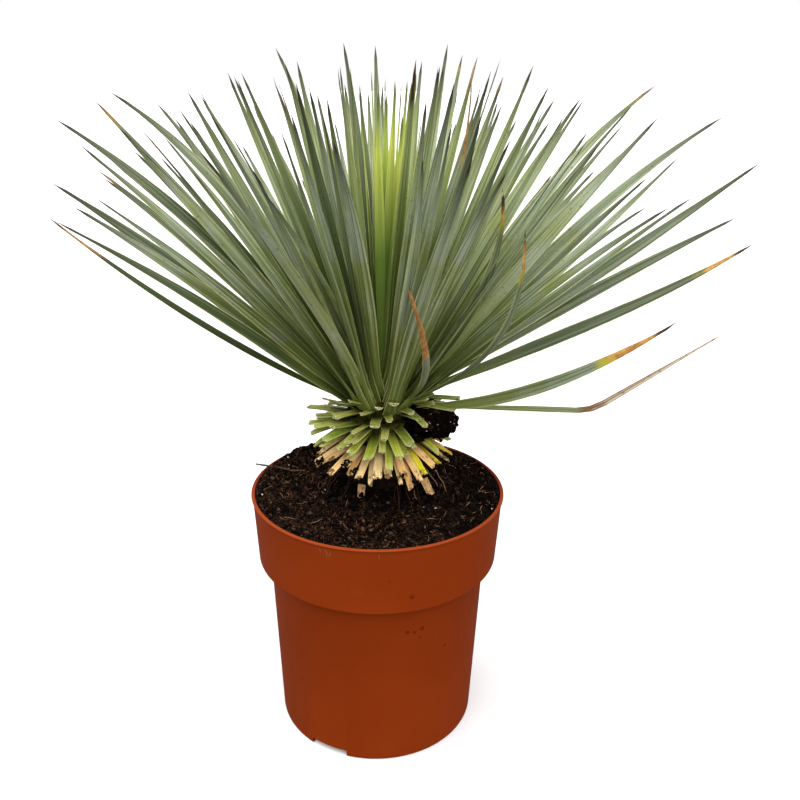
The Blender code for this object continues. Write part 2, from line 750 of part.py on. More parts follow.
def build_twig(parts, soil, pot):
    """A thin dry twig that lies on the soil with one end over the rim."""
    curve = bpy.data.curves.new("twig", "CURVE")
    curve.dimensions = "3D"
    curve.bevel_depth = TWIG_RADIUS
    curve.bevel_resolution = 1
    curve.use_fill_caps = True
    line = curve.splines.new("POLY")
    line.points.add(len(TWIG_ROUTE) - 1)
    for point, (x, y, lift) in zip(line.points, TWIG_ROUTE):
        point.co = (x, y, POT_HEIGHT + TWIG_DROP + lift, 1.0)
    tube = bpy.data.objects.new("twig_curve", curve)
    parts.objects.link(tube)
    graph = bpy.context.evaluated_depsgraph_get()
    mesh = bpy.data.meshes.new_from_object(tube.evaluated_get(graph))
    bpy.data.objects.remove(tube, do_unlink=True)
    bm = bmesh.new()
    bm.from_mesh(mesh)
    bmesh.ops.remove_doubles(bm, verts=bm.verts, dist=0.00005)
    bmesh.ops.triangulate(bm, faces=bm.faces)
    bpy.data.meshes.remove(mesh)
    material = make_material("twig", TWIG_COLOUR, 0.8)
    twig = add_object("twig", mesh_from_bmesh("twig", bm), parts, material)
    seat(twig, soil, pot)
    return twig


def main():
    remove_everything()
    parts = make_collection("potted_yucca")
    cutters = make_collection("cutters")
    pot = build_pot(parts, cutters)
    soil = build_soil(parts, cutters)
    trunk = build_trunk(parts)
    neck = build_neck(parts)
    build_crown(parts)
    build_young(parts)
    build_clod(parts, trunk, neck)
    build_twig(parts, soil, pot)
    bpy.data.collections.remove(cutters)


main()
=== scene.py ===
"""The looks of a beaked yucca in a plastic nursery pot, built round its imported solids.

Metres, +Z up. The side that the photograph shows faces -Y. Azimuths run anticlockwise from
+X, seen from above. The leaves and stubs follow the same rules as the solids that they
replace, with a finer skin.
"""

import math
import random

import bmesh
import bpy
import numpy as np
from mathutils import Matrix, Vector, noise


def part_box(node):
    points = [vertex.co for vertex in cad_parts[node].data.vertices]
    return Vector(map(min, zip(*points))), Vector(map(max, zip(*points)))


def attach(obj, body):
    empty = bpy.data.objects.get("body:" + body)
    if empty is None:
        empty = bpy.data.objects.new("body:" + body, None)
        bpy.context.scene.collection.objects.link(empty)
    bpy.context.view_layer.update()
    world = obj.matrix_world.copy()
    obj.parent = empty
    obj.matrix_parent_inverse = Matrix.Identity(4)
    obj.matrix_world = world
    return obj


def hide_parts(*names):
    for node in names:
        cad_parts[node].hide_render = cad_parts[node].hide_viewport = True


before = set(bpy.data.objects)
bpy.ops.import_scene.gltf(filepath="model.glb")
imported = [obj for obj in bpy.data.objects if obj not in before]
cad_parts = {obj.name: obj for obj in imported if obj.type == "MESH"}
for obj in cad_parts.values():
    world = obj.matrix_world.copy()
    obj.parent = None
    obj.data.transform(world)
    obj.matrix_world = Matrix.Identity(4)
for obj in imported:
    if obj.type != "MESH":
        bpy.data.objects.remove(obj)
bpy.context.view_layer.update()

# Pot
POT_RIM_RADIUS = 0.120
POT_HEIGHT = 0.242
POT_WALL = 0.0016
POT_FLOOR = 0.0026
LIP_FLARE = 0.0015
LIP_DEPTH = 0.003
LIP_ROUNDING = 0.0007
LIP_LEDGE = 0.0004
LIP_BEVEL = 0.0012
COLLAR_TAPER = 0.0035
COLLAR_BOTTOM = 0.176
COLLAR_TOP_RADIUS = POT_RIM_RADIUS - LIP_FLARE
COLLAR_FOOT_RADIUS = COLLAR_TOP_RADIUS - COLLAR_TAPER
COLLAR_ROUNDING = 0.0015
SHOULDER_DROP = 0.004
SHOULDER_ROUNDING = 0.001
BODY_TOP = COLLAR_BOTTOM - SHOULDER_DROP
BODY_TOP_RADIUS = 0.104
BODY_BASE_RADIUS = 0.0969
BASE_ROUNDING = 0.002
POT_STEPS = 192
POT_CREASE = 28
CHANNEL_COUNT = 3
CHANNEL_AZIMUTH = math.radians(243)
CHANNEL_WIDTH = 0.038
CHANNEL_HEIGHT = 0.007
CHANNEL_INNER_RADIUS = 0.072
DRAIN_HOLE_RADIUS = 0.004
DRAIN_HOLE_PLACE = 0.083

# Soil
SOIL_EDGE = 0.2365
SOIL_RADIUS = 0.115
SOIL_MOUND = 0.012
SOIL_ROUGHNESS = 0.0022
SOIL_COARSENESS = 45
SOIL_FINENESS = 110
SOIL_SMOOTH_EDGE = 0.020
SOIL_RINGS = 140
SOIL_STEPS = 400
SOIL_CREASE = 80
SOIL_EDGE_RISE = 0.0050
SOIL_EDGE_START = 0.090
SOIL_BANK = 0.0040
SOIL_BANK_AZIMUTH = math.radians(133)
SOIL_BANK_SPREAD = math.radians(24)
SOIL_HEAP = 0.012
SOIL_HEAP_RADIUS = 0.054
SOIL_INNER_EDGE = 0.036
SOIL_OUTER_EDGE = 0.1145
LITTER_SEED = 41
CRUMB_COUNT = 3000
HEAP_CRUMB_COUNT = 420
FIBRE_COUNT = 900
FIBRE_STEPS = 6
FIBRE_SIDES = 5
FIBRE_LENGTHS = (0.003, 0.012)
FIBRE_RADII = (0.00012, 0.00030)
FIBRE_LIFTS = (0.0004, 0.0014)
FIBRE_START_LIFT = 0.0006
POT_FIBRE_LIFT = 0.0002
POT_FIBRE_RADIUS = 0.00016
PERLITE_COUNT = 18
BIG_PERLITE = (0.0541, -0.0442)
BIG_PERLITE_SIZE = 0.0018
HEAP_CRUMB_SIZES = (0.001, 0.0034)
CRUMB_LIFT = 0.3
PERLITE_LIFT = 0.6
CRUMB_CREASE = 60
GAP = 0.0003

# Sizes of crumbs and grains: the least, what chance adds at most, and the power that makes
# large ones rare
CRUMB_SIZE = (0.0005, 0.0020, 3)
PERLITE_SIZE = (0.0004, 0.0005, 1)
PEAT_SIZE = (0.0004, 0.0011, 2)
CLOD_CRUMB_SIZE = (0.0006, 0.0030, 2)

# Lumps, crumbs and grains of the soil's surface: size, plane of the noise, fineness
SOIL_LUMPS = ((0.0024, 7.0, 150), (0.0014, 11.0, 360), (0.0007, 17.0, 800))

# Turned and refined meshes
TURNED_CREASE = 40
WELD = 0.00001
FINER_CUTS = 4

# Trunk and head
AXIS_X = 0.004
AXIS_Y = 0.0
TRUNK_BOTTOM = 0.190
TRUNK_BOTTOM_RADIUS = 0.027
TRUNK_SOIL_RADIUS = 0.030
TRUNK_RADIUS = 0.034
TRUNK_FLARE_TOP = 0.262
TRUNK_TOP = 0.3010
NECK_TOP = 0.3195
HEAD_CENTRE = 0.331
HEAD_RADIUS = 0.030
HEAD_TOP = 0.3595
HEAD_RINGS = 12
HEAD_STEPS = 48
CORE_STEPS = 64
BUD_HEIGHT = 0.007

# Stubs
STUB_LENGTH = 0.034
STUB_WIDTH = 0.0085
STUB_THICKNESS = 0.0022
STUB_SINK = 0.006
STUB_SIDES = 14
STUB_STATIONS = 8
STUB_RAGGED = 0.0010
STUB_CREASE = 55
STUB_SKIN_SEED = 33
YELLOW_STUB_SHARE = 0.06
PEAT_ON_STUB = (0, 0, 4, 26, 40, 54)
PEAT_REACH = 0.007
PEAT_HEIGHTS = (0.0006, 0.0014)
ROOT_COUNT = 16
ROOT_HEIGHTS = (0.270, 0.284)
ROOT_START = 0.0335
ROOT_STEPS = 7
ROOT_SEED = 52

# The rings at a stub's cut end: share of the width, share of the thickness, step back
STUB_END = ((1.0, 1.0, 0.0), (0.93, 0.8, 0.0002), (0.02, 0.05, 0.0004))

# Spirals of stubs. Levels and slopes, in degrees, go from the lowest stub to the highest, and
# shift moves a spiral on by a part of a step. Chance turns each stub by up to swing in radians,
# tilt and twist in degrees, and draws its length and width from lengths and widths
PLAIN_STUBS = {
    "radius": TRUNK_RADIUS,
    "length": STUB_LENGTH,
    "lengths": (0.84, 1.1),
    "widths": None,
    "shift": 0.0,
    "swing": 0.08,
    "tilt": 3,
    "twist": 14,
}
DRY_STUBS = dict(PLAIN_STUBS, seed=21, count=46, levels=(0.2905, 0.2970), slopes=(-36, -24))
GREEN_STUBS = dict(PLAIN_STUBS, seed=22, count=64, levels=(0.3060, 0.3180), slopes=(-26, 14))
HEAD_STUBS = {
    "seed": 23,
    "count": 34,
    "levels": (0.3215, 0.3375),
    "slopes": (4, 24),
    "radius": HEAD_RADIUS,
    "length": 0.025,
    "lengths": (0.75, 1.15),
    "widths": (0.8, 1.1),
    "shift": 0.5,
    "swing": 0.1,
    "tilt": 6,
    "twist": 18,
}

# Green stubs over the clod: azimuth in degrees, height, slope, length, share of the width
CLOD_STUBS = (
    (-4, 0.3350, 0, 0.046, 0.85),
    (-24, 0.3330, -3, 0.040, 0.80),
    (-46, 0.3300, -12, 0.034, 0.90),
)

# Leaves
LEAF_COUNT = 127
LEAF_WIDTH = 0.0118
LEAF_THICKNESS = 0.0017
LEAF_THINNING = 0.45
LEAF_ROOT_WIDTH = 0.55
LEAF_SWELL = 0.35
LEAF_TAPER = 0.40
LEAF_CLASP = 0.55
LEAF_CLASP_END = 0.10
LEAF_TIP_POWER = 1.9
LEAF_SINK = 0.006
LEAF_TIP_WIDTH = 0.0026
LEAF_FULLNESS = 1.06
PATH_STEPS = 24
STEEPEST_LEAF = 80
HIGHEST_ROOT = 64
LOWEST_ROOT = -8
LOWEST_SIDE_LEAF = 40
LOWEST_FRONT_LEAF = 53
FRONT_AZIMUTH = math.radians(268)
FRONT_SPREAD = 62
PARTING_PUSH = math.radians(12)
PARTING_WIDTH = math.radians(15)
THIN_AZIMUTH = math.radians(8)
THIN_SPREAD = math.radians(42)
THIN_START = 0.55
CENTRE_LEAF_LENGTH = 0.252
SIDE_LEAF_GAIN = 0.066
BEND_LATENESS = 1.5
KINK_LENGTH = 0.08
SIDE_ROLL = 50
ROLL_SHARE = 0.2
CROWN_LEAN = math.tan(math.radians(1.7))
GOLDEN_ANGLE = math.pi * (3 - math.sqrt(5))
LEAF_SEED = 6266
LEAF_SKIN_SEED = 31
LEAF_CREASE = 50
CROWN_SECTORS = 4
INNER_FADE = 2.4
NO_DRY_TIP = 1.4
DRY_TIP_SHARE = 0.07
DRY_TIP_STARTS = (0.92, 0.96)
BROWN_LEAF = 2

# A leaf's lightness: the least, what chance adds at most, and painted light at the right side
TONE_LEAST = 0.09
TONE_CHANCE = 0.88
PAINTED_LIGHT_RIGHT = 0.12

# Low leaves get painted shade: the rise where that starts, the fall that makes it full, how
# dark they get, and how much less at the right
LOW_RISE = 0.82
LOW_SPAN = 0.36
LOW_SHADE = 0.95
LOW_RIGHT = 0.2

# Leaves placed one by one: azimuth, elevation at the root, change of elevation to the tip,
# change of azimuth to the tip, length, root latitude, lateness of the change, turn about
# the leaf's own length, width as a share of the others', and the share of the length where
# the dry tip begins
KEPT_LEAVES = (
    (11, -5, 34, 0, 0.328, -15, -0.5, 12, 0.75, 0.545),
    (-18, 2, 39, 0, 0.245, -4, 0.7, 42, 1.0, 0.74),
    (18, 17, 10, 0, 0.380, 2, 3.0, 50, 1.0, 0.845),
    (13, 30, -6, 0, 0.346, 8, 0.8, 55, 1.0, 1.0),
    (12, 31, 3, 0, 0.380, 12, 1.2, 60, 1.0, 1.0),
    (198, 29, 15, 0, 0.296, 2, 1.0, -30, 0.8, 0.84),
    (184, 40, -7, 0, 0.309, 8, 2.2, -62, 1.0, 1.0),
    (184, 64, -32, 0, 0.324, 16, 2.0, -62, 1.0, 1.0),
    (-55, 28, 25, -60, 0.206, 12, 0.7, 0, 0.54, 0.55),
    (-42, 53, 50, 2, 0.222, 14, 3.2, -35, 0.8, 0.89),
    (-52, 30, 72, -9, 0.240, 10, 2.3, -5, 0.8, 0.88),
    (-112, 52, -8, -8, 0.310, 14, 0.8, 0, 1.0, 1.0),
    (-60, 60, 6, -30, 0.300, 24, 1.6, 35, 1.0, 0.80),
    (177, 51, -20, 0, 0.345, 8, 1.8, -62, 1.0, 1.0),
    (180, 52, -4, 0, 0.325, 16, 1.2, -58, 1.0, 0.93),
    (160, 59, -14, 0, 0.315, 8, 1.2, -50, 1.0, 1.0),
    (-7, 51, -17, 0, 0.345, 12, 2.4, 55, 1.0, 1.0),
    (12, 59, -24, 0, 0.340, 16, 2.4, 55, 1.0, 0.95),
    (141, 78, -24, 0, 0.308, 24, 2.4, -40, 1.0, 1.0),
    (116, 84, -19, 0, 0.296, 40, 1.8, -20, 1.0, 1.0),
    (97, 84, -19, 0, 0.294, 40, 1.8, -10, 1.0, 1.0),
    (52, 78, -2, 0, 0.292, 46, 1.2, 20, 1.0, 1.0),
    (58, 70, -2, 0, 0.300, 36, 2.4, 15, 1.0, 0.95),
    (-11, 78, -1, 0, 0.276, 30, 1.2, 40, 1.0, 1.0),
    (247, 57, -18, 0, 0.258, 26, 1.6, -14, 1.15, 1.0),
    (262, 61, -19, 0, 0.284, 28, 1.6, -10, 1.1, 1.0),
    (283, 56, 24, 0, 0.242, 16, 1.6, 14, 1.0, 1.0),
)

# Looks of a leaf's dry end: a yellow band before it, pale streaks in it, and the share of the
# length where it turns dark. Those of the placed leaves go by row
PLAIN_DRY_LOOK = (0.3, 0.0, 0.95)
DRY_TIP_LOOK = (0.3, 0.4, 0.96)
BROWN_LOOK = (0.0, 0.0, 0.86)
DRY_LOOKS = {
    0: (0.0, 1.0, 1.4),
    1: (1.0, 0.0, 0.90),
    2: (0.3, 0.0, 0.92),
    5: (0.0, 0.2, 0.93),
    8: (0.0, 0.0, 1.4),
    9: (0.8, 0.0, 0.91),
    10: (0.6, 0.0, 0.94),
}

# How light some of the placed leaves are
LEAF_TONES = {
    0: 0.9, 1: 0.75, 2: 0.12, 3: 0.45, 4: 0.3, 5: 0.1, 6: 0.2, 7: 0.3,
    9: 0.15, 10: 0.2, 13: 0.25, 14: 0.4, 24: 1.0, 25: 0.8, 26: 0.9,
}

# Young leaves
YOUNG_COUNT = 12
YOUNG_LENGTH = 0.25
YOUNG_WIDTH = 0.009
YOUNG_ROOT_RING = 0.0045
YOUNG_SLOPES = (89, 82)
YOUNG_SEED = 5
YOUNG_SKIN_SEED = 32

# Clod and scraps
CLOD_AZIMUTH = math.radians(-20)
CLOD_SECTOR = math.radians(34)
CLOD_STUB_SHARE = 0.25
CLOD_CRUMBS = 360
CLOD_PALE_CRUMBS = 40
CLOD_FOOT_CRUMBS = 150
CLOD_FOOT_REACHES = (0.030, 0.050)
CLOD_FOOT_HEIGHTS = (0.304, 0.330)
CLOD_FOOT_SIZES = (0.0016, 0.0048)
PALE_CRUMB_SIZES = (0.0003, 0.0008)
CLOD_SEED = 51
SCRAP_SEED = 55

# Marks on the pot: azimuth in degrees, height and radius
POT_MARKS = (
    (286.8, 0.1469, 0.0026),
    (290.5, 0.1455, 0.0021),
    (294.5, 0.1479, 0.0028),
    (293.8, 0.1386, 0.0018),
    (287.8, 0.1508, 0.0013),
    (289.9, 0.1543, 0.0012),
    (286.5, 0.1921, 0.0030),
    (276.6, 0.2107, 0.0018),
    (309.4, 0.1189, 0.0020),
    (225.7, 0.0724, 0.0022),
    (323.4, 0.1066, 0.0018),
)

# Peat fibres stuck to the pot's collar: azimuth in degrees, height, length
POT_FIBRES = (
    (247.6, 0.2404, 0.006),
    (250.0, 0.2400, 0.010),
    (251.6, 0.2370, 0.006),
    (272.4, 0.2400, 0.007),
)

# Scraps of dry leaf that lean on the soil by the trunk: azimuth in degrees, distance from
# the trunk's axis, height, slope, length, width as a share of a stub's
SCRAPS = (
    (243, 0.0400, 0.2550, -78, 0.0135, 0.80),
    (-31, 0.0475, 0.2560, -58, 0.0085, 1.10),
)

# Light
SKY_LOW = 0.57
SKY_HIGH = 1.20
FLOOR_SEEN = 0.84
FLOOR_BOUNCE = 0.24
FLOOR_REACH = 40.0

# Suns: name, azimuth and elevation in degrees, power, softness in degrees
SUNS = (("key", 290, 44, 1.92, 45), ("top", 195, 64, 1.9, 60))

# Camera, fitted to the photograph
CAMERA_PLACE = (0.01995, -0.73315, 0.60977)
CAMERA_PITCH = math.radians(-20.83)
CAMERA_ROLL = math.radians(0.836)
CAMERA_LENS = 38.25
CAMERA_SENSOR = 36.0


def srgb(*screen):
    """A colour from the three 0 to 255 values of a screen, as Blender's linear RGBA."""
    shares = [value / 255 for value in screen]
    red, green, blue = (
        share / 12.92 if share <= 0.04045 else ((share + 0.055) / 1.055) ** 2.4
        for share in shares
    )
    return (red, green, blue, 1.0)


# Node helpers


class Nodes:
    """A new material's or world's node tree, with short calls for the nodes that they share.

    A colour in a call is three values from 0 to 255, as on a screen.
    """

    def __init__(self, name, kind="materials"):
        self.owner = getattr(bpy.data, kind).new(name)
        self.owner.use_nodes = True
        self.tree = self.owner.node_tree

    def new(self, kind, **values):
        node = self.tree.nodes.new("ShaderNode" + kind)
        for key, value in values.items():
            setattr(node, key, value)
        return node

    def put(self, socket, value):
        """Link an output to a socket, or set its number or colour."""
        if isinstance(value, bpy.types.NodeSocket):
            self.tree.links.new(value, socket)
        else:
            socket.default_value = srgb(*value) if isinstance(value, tuple) else value

    def attribute(self, name):
        """A value that the mesh holds at its vertices."""
        return self.new("Attribute", attribute_name=name).outputs["Fac"]

    def attributes(self, *names):
        return [self.attribute(name) for name in names]

    def position(self):
        return self.new("NewGeometry").outputs["Position"]

    def place(self, axis, vector=None):
        """One coordinate of the position in space, or of a vector."""
        node = self.new("SeparateXYZ")
        self.put(node.inputs[0], vector or self.position())
        return node.outputs[axis]

    def math(self, operation, first, second=0.0):
        node = self.new("Math", operation=operation)
        self.put(node.inputs[0], first)
        self.put(node.inputs[1], second)
        return node.outputs[0]

    def times(self, first, second):
        return self.math("MULTIPLY", first, second)

    def plus(self, first, second):
        return self.math("ADD", first, second)

    def mix(self, share, first, second):
        node = self.new("Mix", data_type="RGBA")
        for key, value in (("Factor", share), ("A", first), ("B", second)):
            self.put(node.inputs[key], value)
        return node.outputs["Result"]

    def layers(self, colour, *rows):
        """A colour with others laid over it in turn, each row a share and a colour."""
        for share, over in rows:
            colour = self.mix(share, colour, over)
        return colour

    def ramp(self, value, *stops):
        """Colours at places along a value."""
        node = self.new("ValToRGB")
        elements = node.color_ramp.elements
        while len(elements) < len(stops):
            elements.new(0.5)
        for element, (place, colour) in zip(elements, stops):
            element.position = place
            element.color = srgb(*colour)
        self.put(node.inputs[0], value)
        return node.outputs[0]

    def span(self, value, low, high, first=0.0, last=1.0):
        """A value from low to high, brought to run from first to last."""
        node = self.new("MapRange")
        for socket, number in zip(node.inputs, (value, low, high, first, last)):
            self.put(socket, number)
        return node.outputs[0]

    def noise(self, scale, detail=4.0, roughness=0.55, vector=None):
        node = self.new("TexNoise")
        self.put(node.inputs["Vector"], vector or self.position())
        for key, value in (("Scale", scale), ("Detail", detail), ("Roughness", roughness)):
            node.inputs[key].default_value = value
        return node.outputs["Fac"]

    def spot(self, place, size):
        """1 at a place in space, which fades to 0 at a distance."""
        node = self.new("VectorMath", operation="DISTANCE")
        self.put(node.inputs[0], self.position())
        node.inputs[1].default_value = place
        return self.span(node.outputs["Value"], size * 0.5, size, 1.0, 0.0)

    def vector(self, *values):
        node = self.new("CombineXYZ")
        for socket, value in zip(node.inputs, values):
            self.put(socket, value)
        return node.outputs[0]

    def bump(self, height, strength, distance, normal=None):
        node = self.new("Bump")
        node.inputs["Strength"].default_value = strength
        node.inputs["Distance"].default_value = distance
        self.put(node.inputs["Height"], height)
        if normal:
            self.put(node.inputs["Normal"], normal)
        return node.outputs[0]

    def finish(self, colour, roughness, normal, specular):
        """Link the material's own shader, and return the material."""
        sockets = self.tree.nodes["Principled BSDF"].inputs
        self.put(sockets["Base Color"], colour)
        self.put(sockets["Roughness"], roughness)
        self.put(sockets["Specular IOR Level"], specular)
        if normal:
            self.put(sockets["Normal"], normal)
        return self.owner


# Materials


def blade_values(n, *finenesses):
    """What a blade's vertices say, and lines along it at some finenesses, new on each blade."""
    along, across, tone = n.attributes("along", "across", "tone")
    lines = []
    for fineness in finenesses:
        wide, far = n.times(across, 2.7 * fineness), n.times(along, 0.9 * fineness)
        lines.append(n.noise(2.6, 4.0, 0.62, n.vector(wide, far, n.times(tone, 37.0))))
    return along, across, tone, *lines


def leaf_material():
    """Waxy blades: grey-green with lines, thin pale margins, dark and some dry tips."""
    n = Nodes("mature_leaf")
    along, across, tone, fine, lines = blade_values(n, 1.0, 0.45)
    side, low, inner = n.attributes("side", "low", "inner")
    dry, yellow, streaked, burnt = n.attributes("dry", "gold", "pale", "burnt")
    edge = n.math("ABSOLUTE", across)
    cool = n.mix(tone, (76, 90, 60), (198, 210, 186))
    warm = n.mix(tone, (70, 90, 28), (170, 180, 96))
    blotch = n.plus(n.noise(22.0, 4.0, 0.6), n.span(along, 0.1, 0.7, -0.14, 0.10))
    green = n.mix(n.span(along, 0.2, 0.7), (112, 132, 46), (172, 188, 98))
    # Painted light on the upper parts of all but the low leaves
    light = n.times(n.span(along, 0.35, 0.75, 0.0, 0.12), n.span(low, 0.2, 0.8, 1.0, 0.0))
    margin = n.times(n.span(edge, 0.84, 0.93), n.span(n.noise(30.0), 0.4, 0.6, 0.25, 0.95))
    bars = n.noise(2.6, 3.0, 0.6, n.vector(n.times(across, 0.8), n.times(along, 30.0), tone))
    bars = n.times(n.span(bars, 0.62, 0.68, 0.0, 0.5), n.span(n.noise(38.0), 0.50, 0.60))
    colour = n.layers(
        n.mix(n.span(blotch, 0.42, 0.66), warm, cool),
        (n.times(inner, 0.75), green),
        (n.span(lines, 0.52, 0.60, 0.0, 0.46), (212, 220, 184)),
        (n.span(lines, 0.41, 0.49, 0.62, 0.0), (48, 66, 22)),
        (n.span(fine, 0.34, 0.58, 0.55, 0.0), (58, 78, 30)),
        (n.span(tone, 0.0, 0.4, 0.62, 0.0), (42, 58, 20)),
        # Painted shade on each blade's lower face
        (n.span(side, -0.2, 0.2, 0.0, 0.16), (56, 68, 40)),
        (light, (200, 212, 160)),
        # Painted shade on the low leaves
        (n.times(low, 0.60), (48, 57, 34)),
        (n.span(along, 0.05, 0.34, 0.75, 0.0), (104, 118, 46)),
        (margin, (200, 198, 132)),
        (n.span(along, 0.74, 0.97, 0.0, 0.85), (50, 54, 32)),
        (bars, (66, 66, 36)),
        (n.span(n.noise(420.0, 3.0, 0.6), 0.66, 0.70, 0.0, 0.6), (52, 44, 24)),
    )
    wander = n.times(n.math("SUBTRACT", n.noise(90.0), 0.5), 0.10)
    wander = n.plus(wander, n.span(lines, 0.3, 0.7, -0.03, 0.03))
    reach = n.math("SUBTRACT", n.plus(along, wander), dry)
    spots = n.span(n.noise(140.0, 5.0, 0.65), 0.38, 0.58)
    pale = n.layers(
        n.mix(n.span(lines, 0.42, 0.56), (122, 100, 78), (200, 188, 162)),
        (n.span(edge, 0.45, 0.85, 0.0, 0.7), (118, 84, 60)),
        (n.span(spots, 0.0, 0.4, 0.7, 0.0), (92, 66, 48)),
    )
    straw = n.layers(
        n.mix(spots, (214, 164, 86), (166, 114, 54)),
        (n.span(lines, 0.38, 0.47, 0.75, 0.0), (104, 64, 32)),
        (n.span(fine, 0.34, 0.54, 0.5, 0.0), (126, 82, 42)),
        (streaked, pale),
    )
    start = n.math("SUBTRACT", 1.0, n.span(n.math("ABSOLUTE", reach), 0.0, 0.05))
    scorch = n.math("SUBTRACT", n.plus(along, n.times(wander, 0.5)), burnt)
    colour = n.layers(
        colour,
        (n.times(n.span(reach, -0.055, 0.0), yellow), (170, 166, 46)),
        (n.span(reach, -0.01, 0.03), straw),
        (n.times(start, streaked), (104, 58, 34)),
        (n.span(scorch, 0.0, 0.03), (54, 36, 18)),
    )
    roughness = n.span(fine, 0.2, 0.8, 0.60, 0.45)
    return n.finish(colour, roughness, n.bump(fine, 0.5, 0.0008), 0.30)


def young_material():
    """Yellow-green spears with pale edges, greener and then brown at the tip."""
    n = Nodes("young_leaf_skin")
    along, across, tone, fine, lines = blade_values(n, 1.0, 0.45)
    colour = n.layers(
        n.mix(tone, (166, 194, 84), (246, 248, 122)),
        (n.span(lines, 0.38, 0.5, 0.5, 0.0), (128, 158, 54)),
        (n.span(fine, 0.3, 0.6, 0.3, 0.0), (120, 146, 48)),
        (n.span(n.math("ABSOLUTE", across), 0.80, 0.97, 0.0, 0.7), (240, 238, 150)),
        (n.span(along, 0.42, 0.80, 0.94, 0.0), (102, 130, 52)),
        (n.span(along, 0.80, 0.92, 0.0, 0.8), (116, 140, 62)),
        (n.span(along, 0.88, 0.99), (86, 80, 40)),
    )
    return n.finish(colour, 0.45, n.bump(fine, 0.4, 0.0006), 0.35)


def green_stub_material():
    """Cut green leaf bases, dark at the root, with brown spots and a pale cut end."""
    n = Nodes("green_stub_skin")
    along, across, tone, fine, broad = blade_values(n, 1.0, 0.35)
    fresh = n.mix(tone, (108, 132, 22), (184, 186, 58))
    faded = n.mix(tone, (112, 118, 40), (176, 172, 88))
    brown = n.times(n.span(n.noise(210.0, 4.0, 0.6), 0.60, 0.68), 0.7)
    cut = n.mix(n.span(n.noise(900.0, 3.0), 0.45, 0.6), (206, 204, 152), (132, 124, 70))
    colour = n.layers(
        n.mix(n.attribute("grey"), fresh, faded),
        (n.span(broad, 0.45, 0.65, 0.0, 0.45), (192, 198, 104)),
        (n.span(fine, 0.3, 0.6, 0.6, 0.0), (58, 74, 18)),
        (n.span(n.math("ABSOLUTE", across), 0.72, 0.97, 0.0, 0.6), (190, 194, 116)),
        (n.span(along, 0.20, 0.65, 0.85, 0.0), (46, 54, 14)),
        (n.span(along, 0.80, 0.99, 0.0, 0.4), (196, 200, 130)),
        (brown, (84, 60, 28)),
        (n.span(along, 1.0, 1.02), cut),
    )
    return n.finish(colour, 0.5, n.bump(fine, 0.5, 0.0008), 0.25)


def dry_stub_material():
    """Straw-coloured leaf bases, some yellow, with dark specks, worn ends and a dark root."""
    n = Nodes("dry_stub_skin")
    along, across, tone, fine, broad = blade_values(n, 1.0, 0.35)
    straw = n.mix(tone, (240, 192, 120), (255, 232, 172))
    gold = n.mix(tone, (240, 196, 64), (228, 224, 44))
    specks = n.plus(n.noise(640.0, 4.0, 0.7), n.span(along, 0.5, 1.0, 0.0, 0.05))
    worn = n.plus(n.noise(130.0, 5.0, 0.7), n.span(along, 0.62, 1.0, 0.0, 0.15))
    colour = n.layers(
        n.mix(n.attribute("yellow"), straw, gold),
        (n.span(broad, 0.36, 0.56, 0.5, 0.0), (206, 150, 84)),
        (n.span(fine, 0.3, 0.6, 0.35, 0.0), (140, 94, 50)),
        (n.span(specks, 0.65, 0.70, 0.0, 0.75), (66, 36, 18)),
        (n.span(along, 0.15, 0.55, 0.9, 0.0), (70, 54, 24)),
        (n.span(worn, 0.62, 0.70, 0.0, 0.85), (50, 28, 16)),
        (n.span(along, 1.0, 1.02, 0.0, 0.6), (150, 108, 66)),
    )
    return n.finish(colour, 0.75, n.bump(fine, 0.8, 0.0009), 0.15)


def scrap_material():
    """Loose dry leaf, straw-coloured with stains."""
    n = Nodes("leaf_scrap_skin")
    *_, fine = blade_values(n, 2.0)
    stain = n.times(n.span(n.noise(260.0, 5.0, 0.7), 0.50, 0.62), 0.8)
    straw = n.mix(n.span(fine, 0.3, 0.7), (158, 118, 74), (222, 184, 128))
    colour = n.mix(stain, straw, (86, 56, 32))
    return n.finish(colour, 0.8, n.bump(fine, 0.6, 0.0006), 0.2)


# Rough materials of one noise: its scale, detail and roughness, the colours along it, the
# surface's roughness, the bump's strength and depth, and the specular level
ROUGH_LOOKS = {
    "trunk_bark": (
        (160.0, 6.0, 0.7),
        ((0.35, (8, 5, 3)), (0.6, (30, 20, 12)), (0.75, (70, 50, 30))),
        (0.9, 0.9, 0.0015, 0.1),
    ),
    "head_core": (
        (220.0, 4.0, 0.6),
        ((0.35, (20, 22, 6)), (0.65, (66, 64, 22))),
        (0.9, 0.9, 0.0015, 0.05),
    ),
    "perlite_grain": (
        (1400.0, 4.0, 0.6),
        ((0.3, (176, 166, 150)), (0.6, (236, 232, 224))),
        (0.85, 0.7, 0.0004, 0.3),
    ),
    "twig_bark": (
        (700.0, 5.0, 0.6),
        ((0.35, (34, 22, 14)), (0.65, (96, 70, 48))),
        (0.85, 0.7, 0.0004, 0.25),
    ),
}


def rough_material(name):
    n = Nodes(name)
    grain, stops, (roughness, strength, depth, specular) = ROUGH_LOOKS[name]
    rough = n.noise(*grain)
    return n.finish(n.ramp(rough, *stops), roughness, n.bump(rough, strength, depth), specular)


def peat_with_painted_shade(n, colour):
    """Painted shade makes peat darkest round the trunk's foot and towards the right."""
    # Both masks are painted shade: one round the trunk's foot, one towards the right
    foot = n.times(n.spot((AXIS_X, AXIS_Y, SOIL_EDGE), 0.068), 0.8)
    right = n.span(n.place("X"), 0.015, 0.08, 0.0, 0.70)
    return n.mix(n.math("MAXIMUM", foot, right), colour, (5, 3, 2))


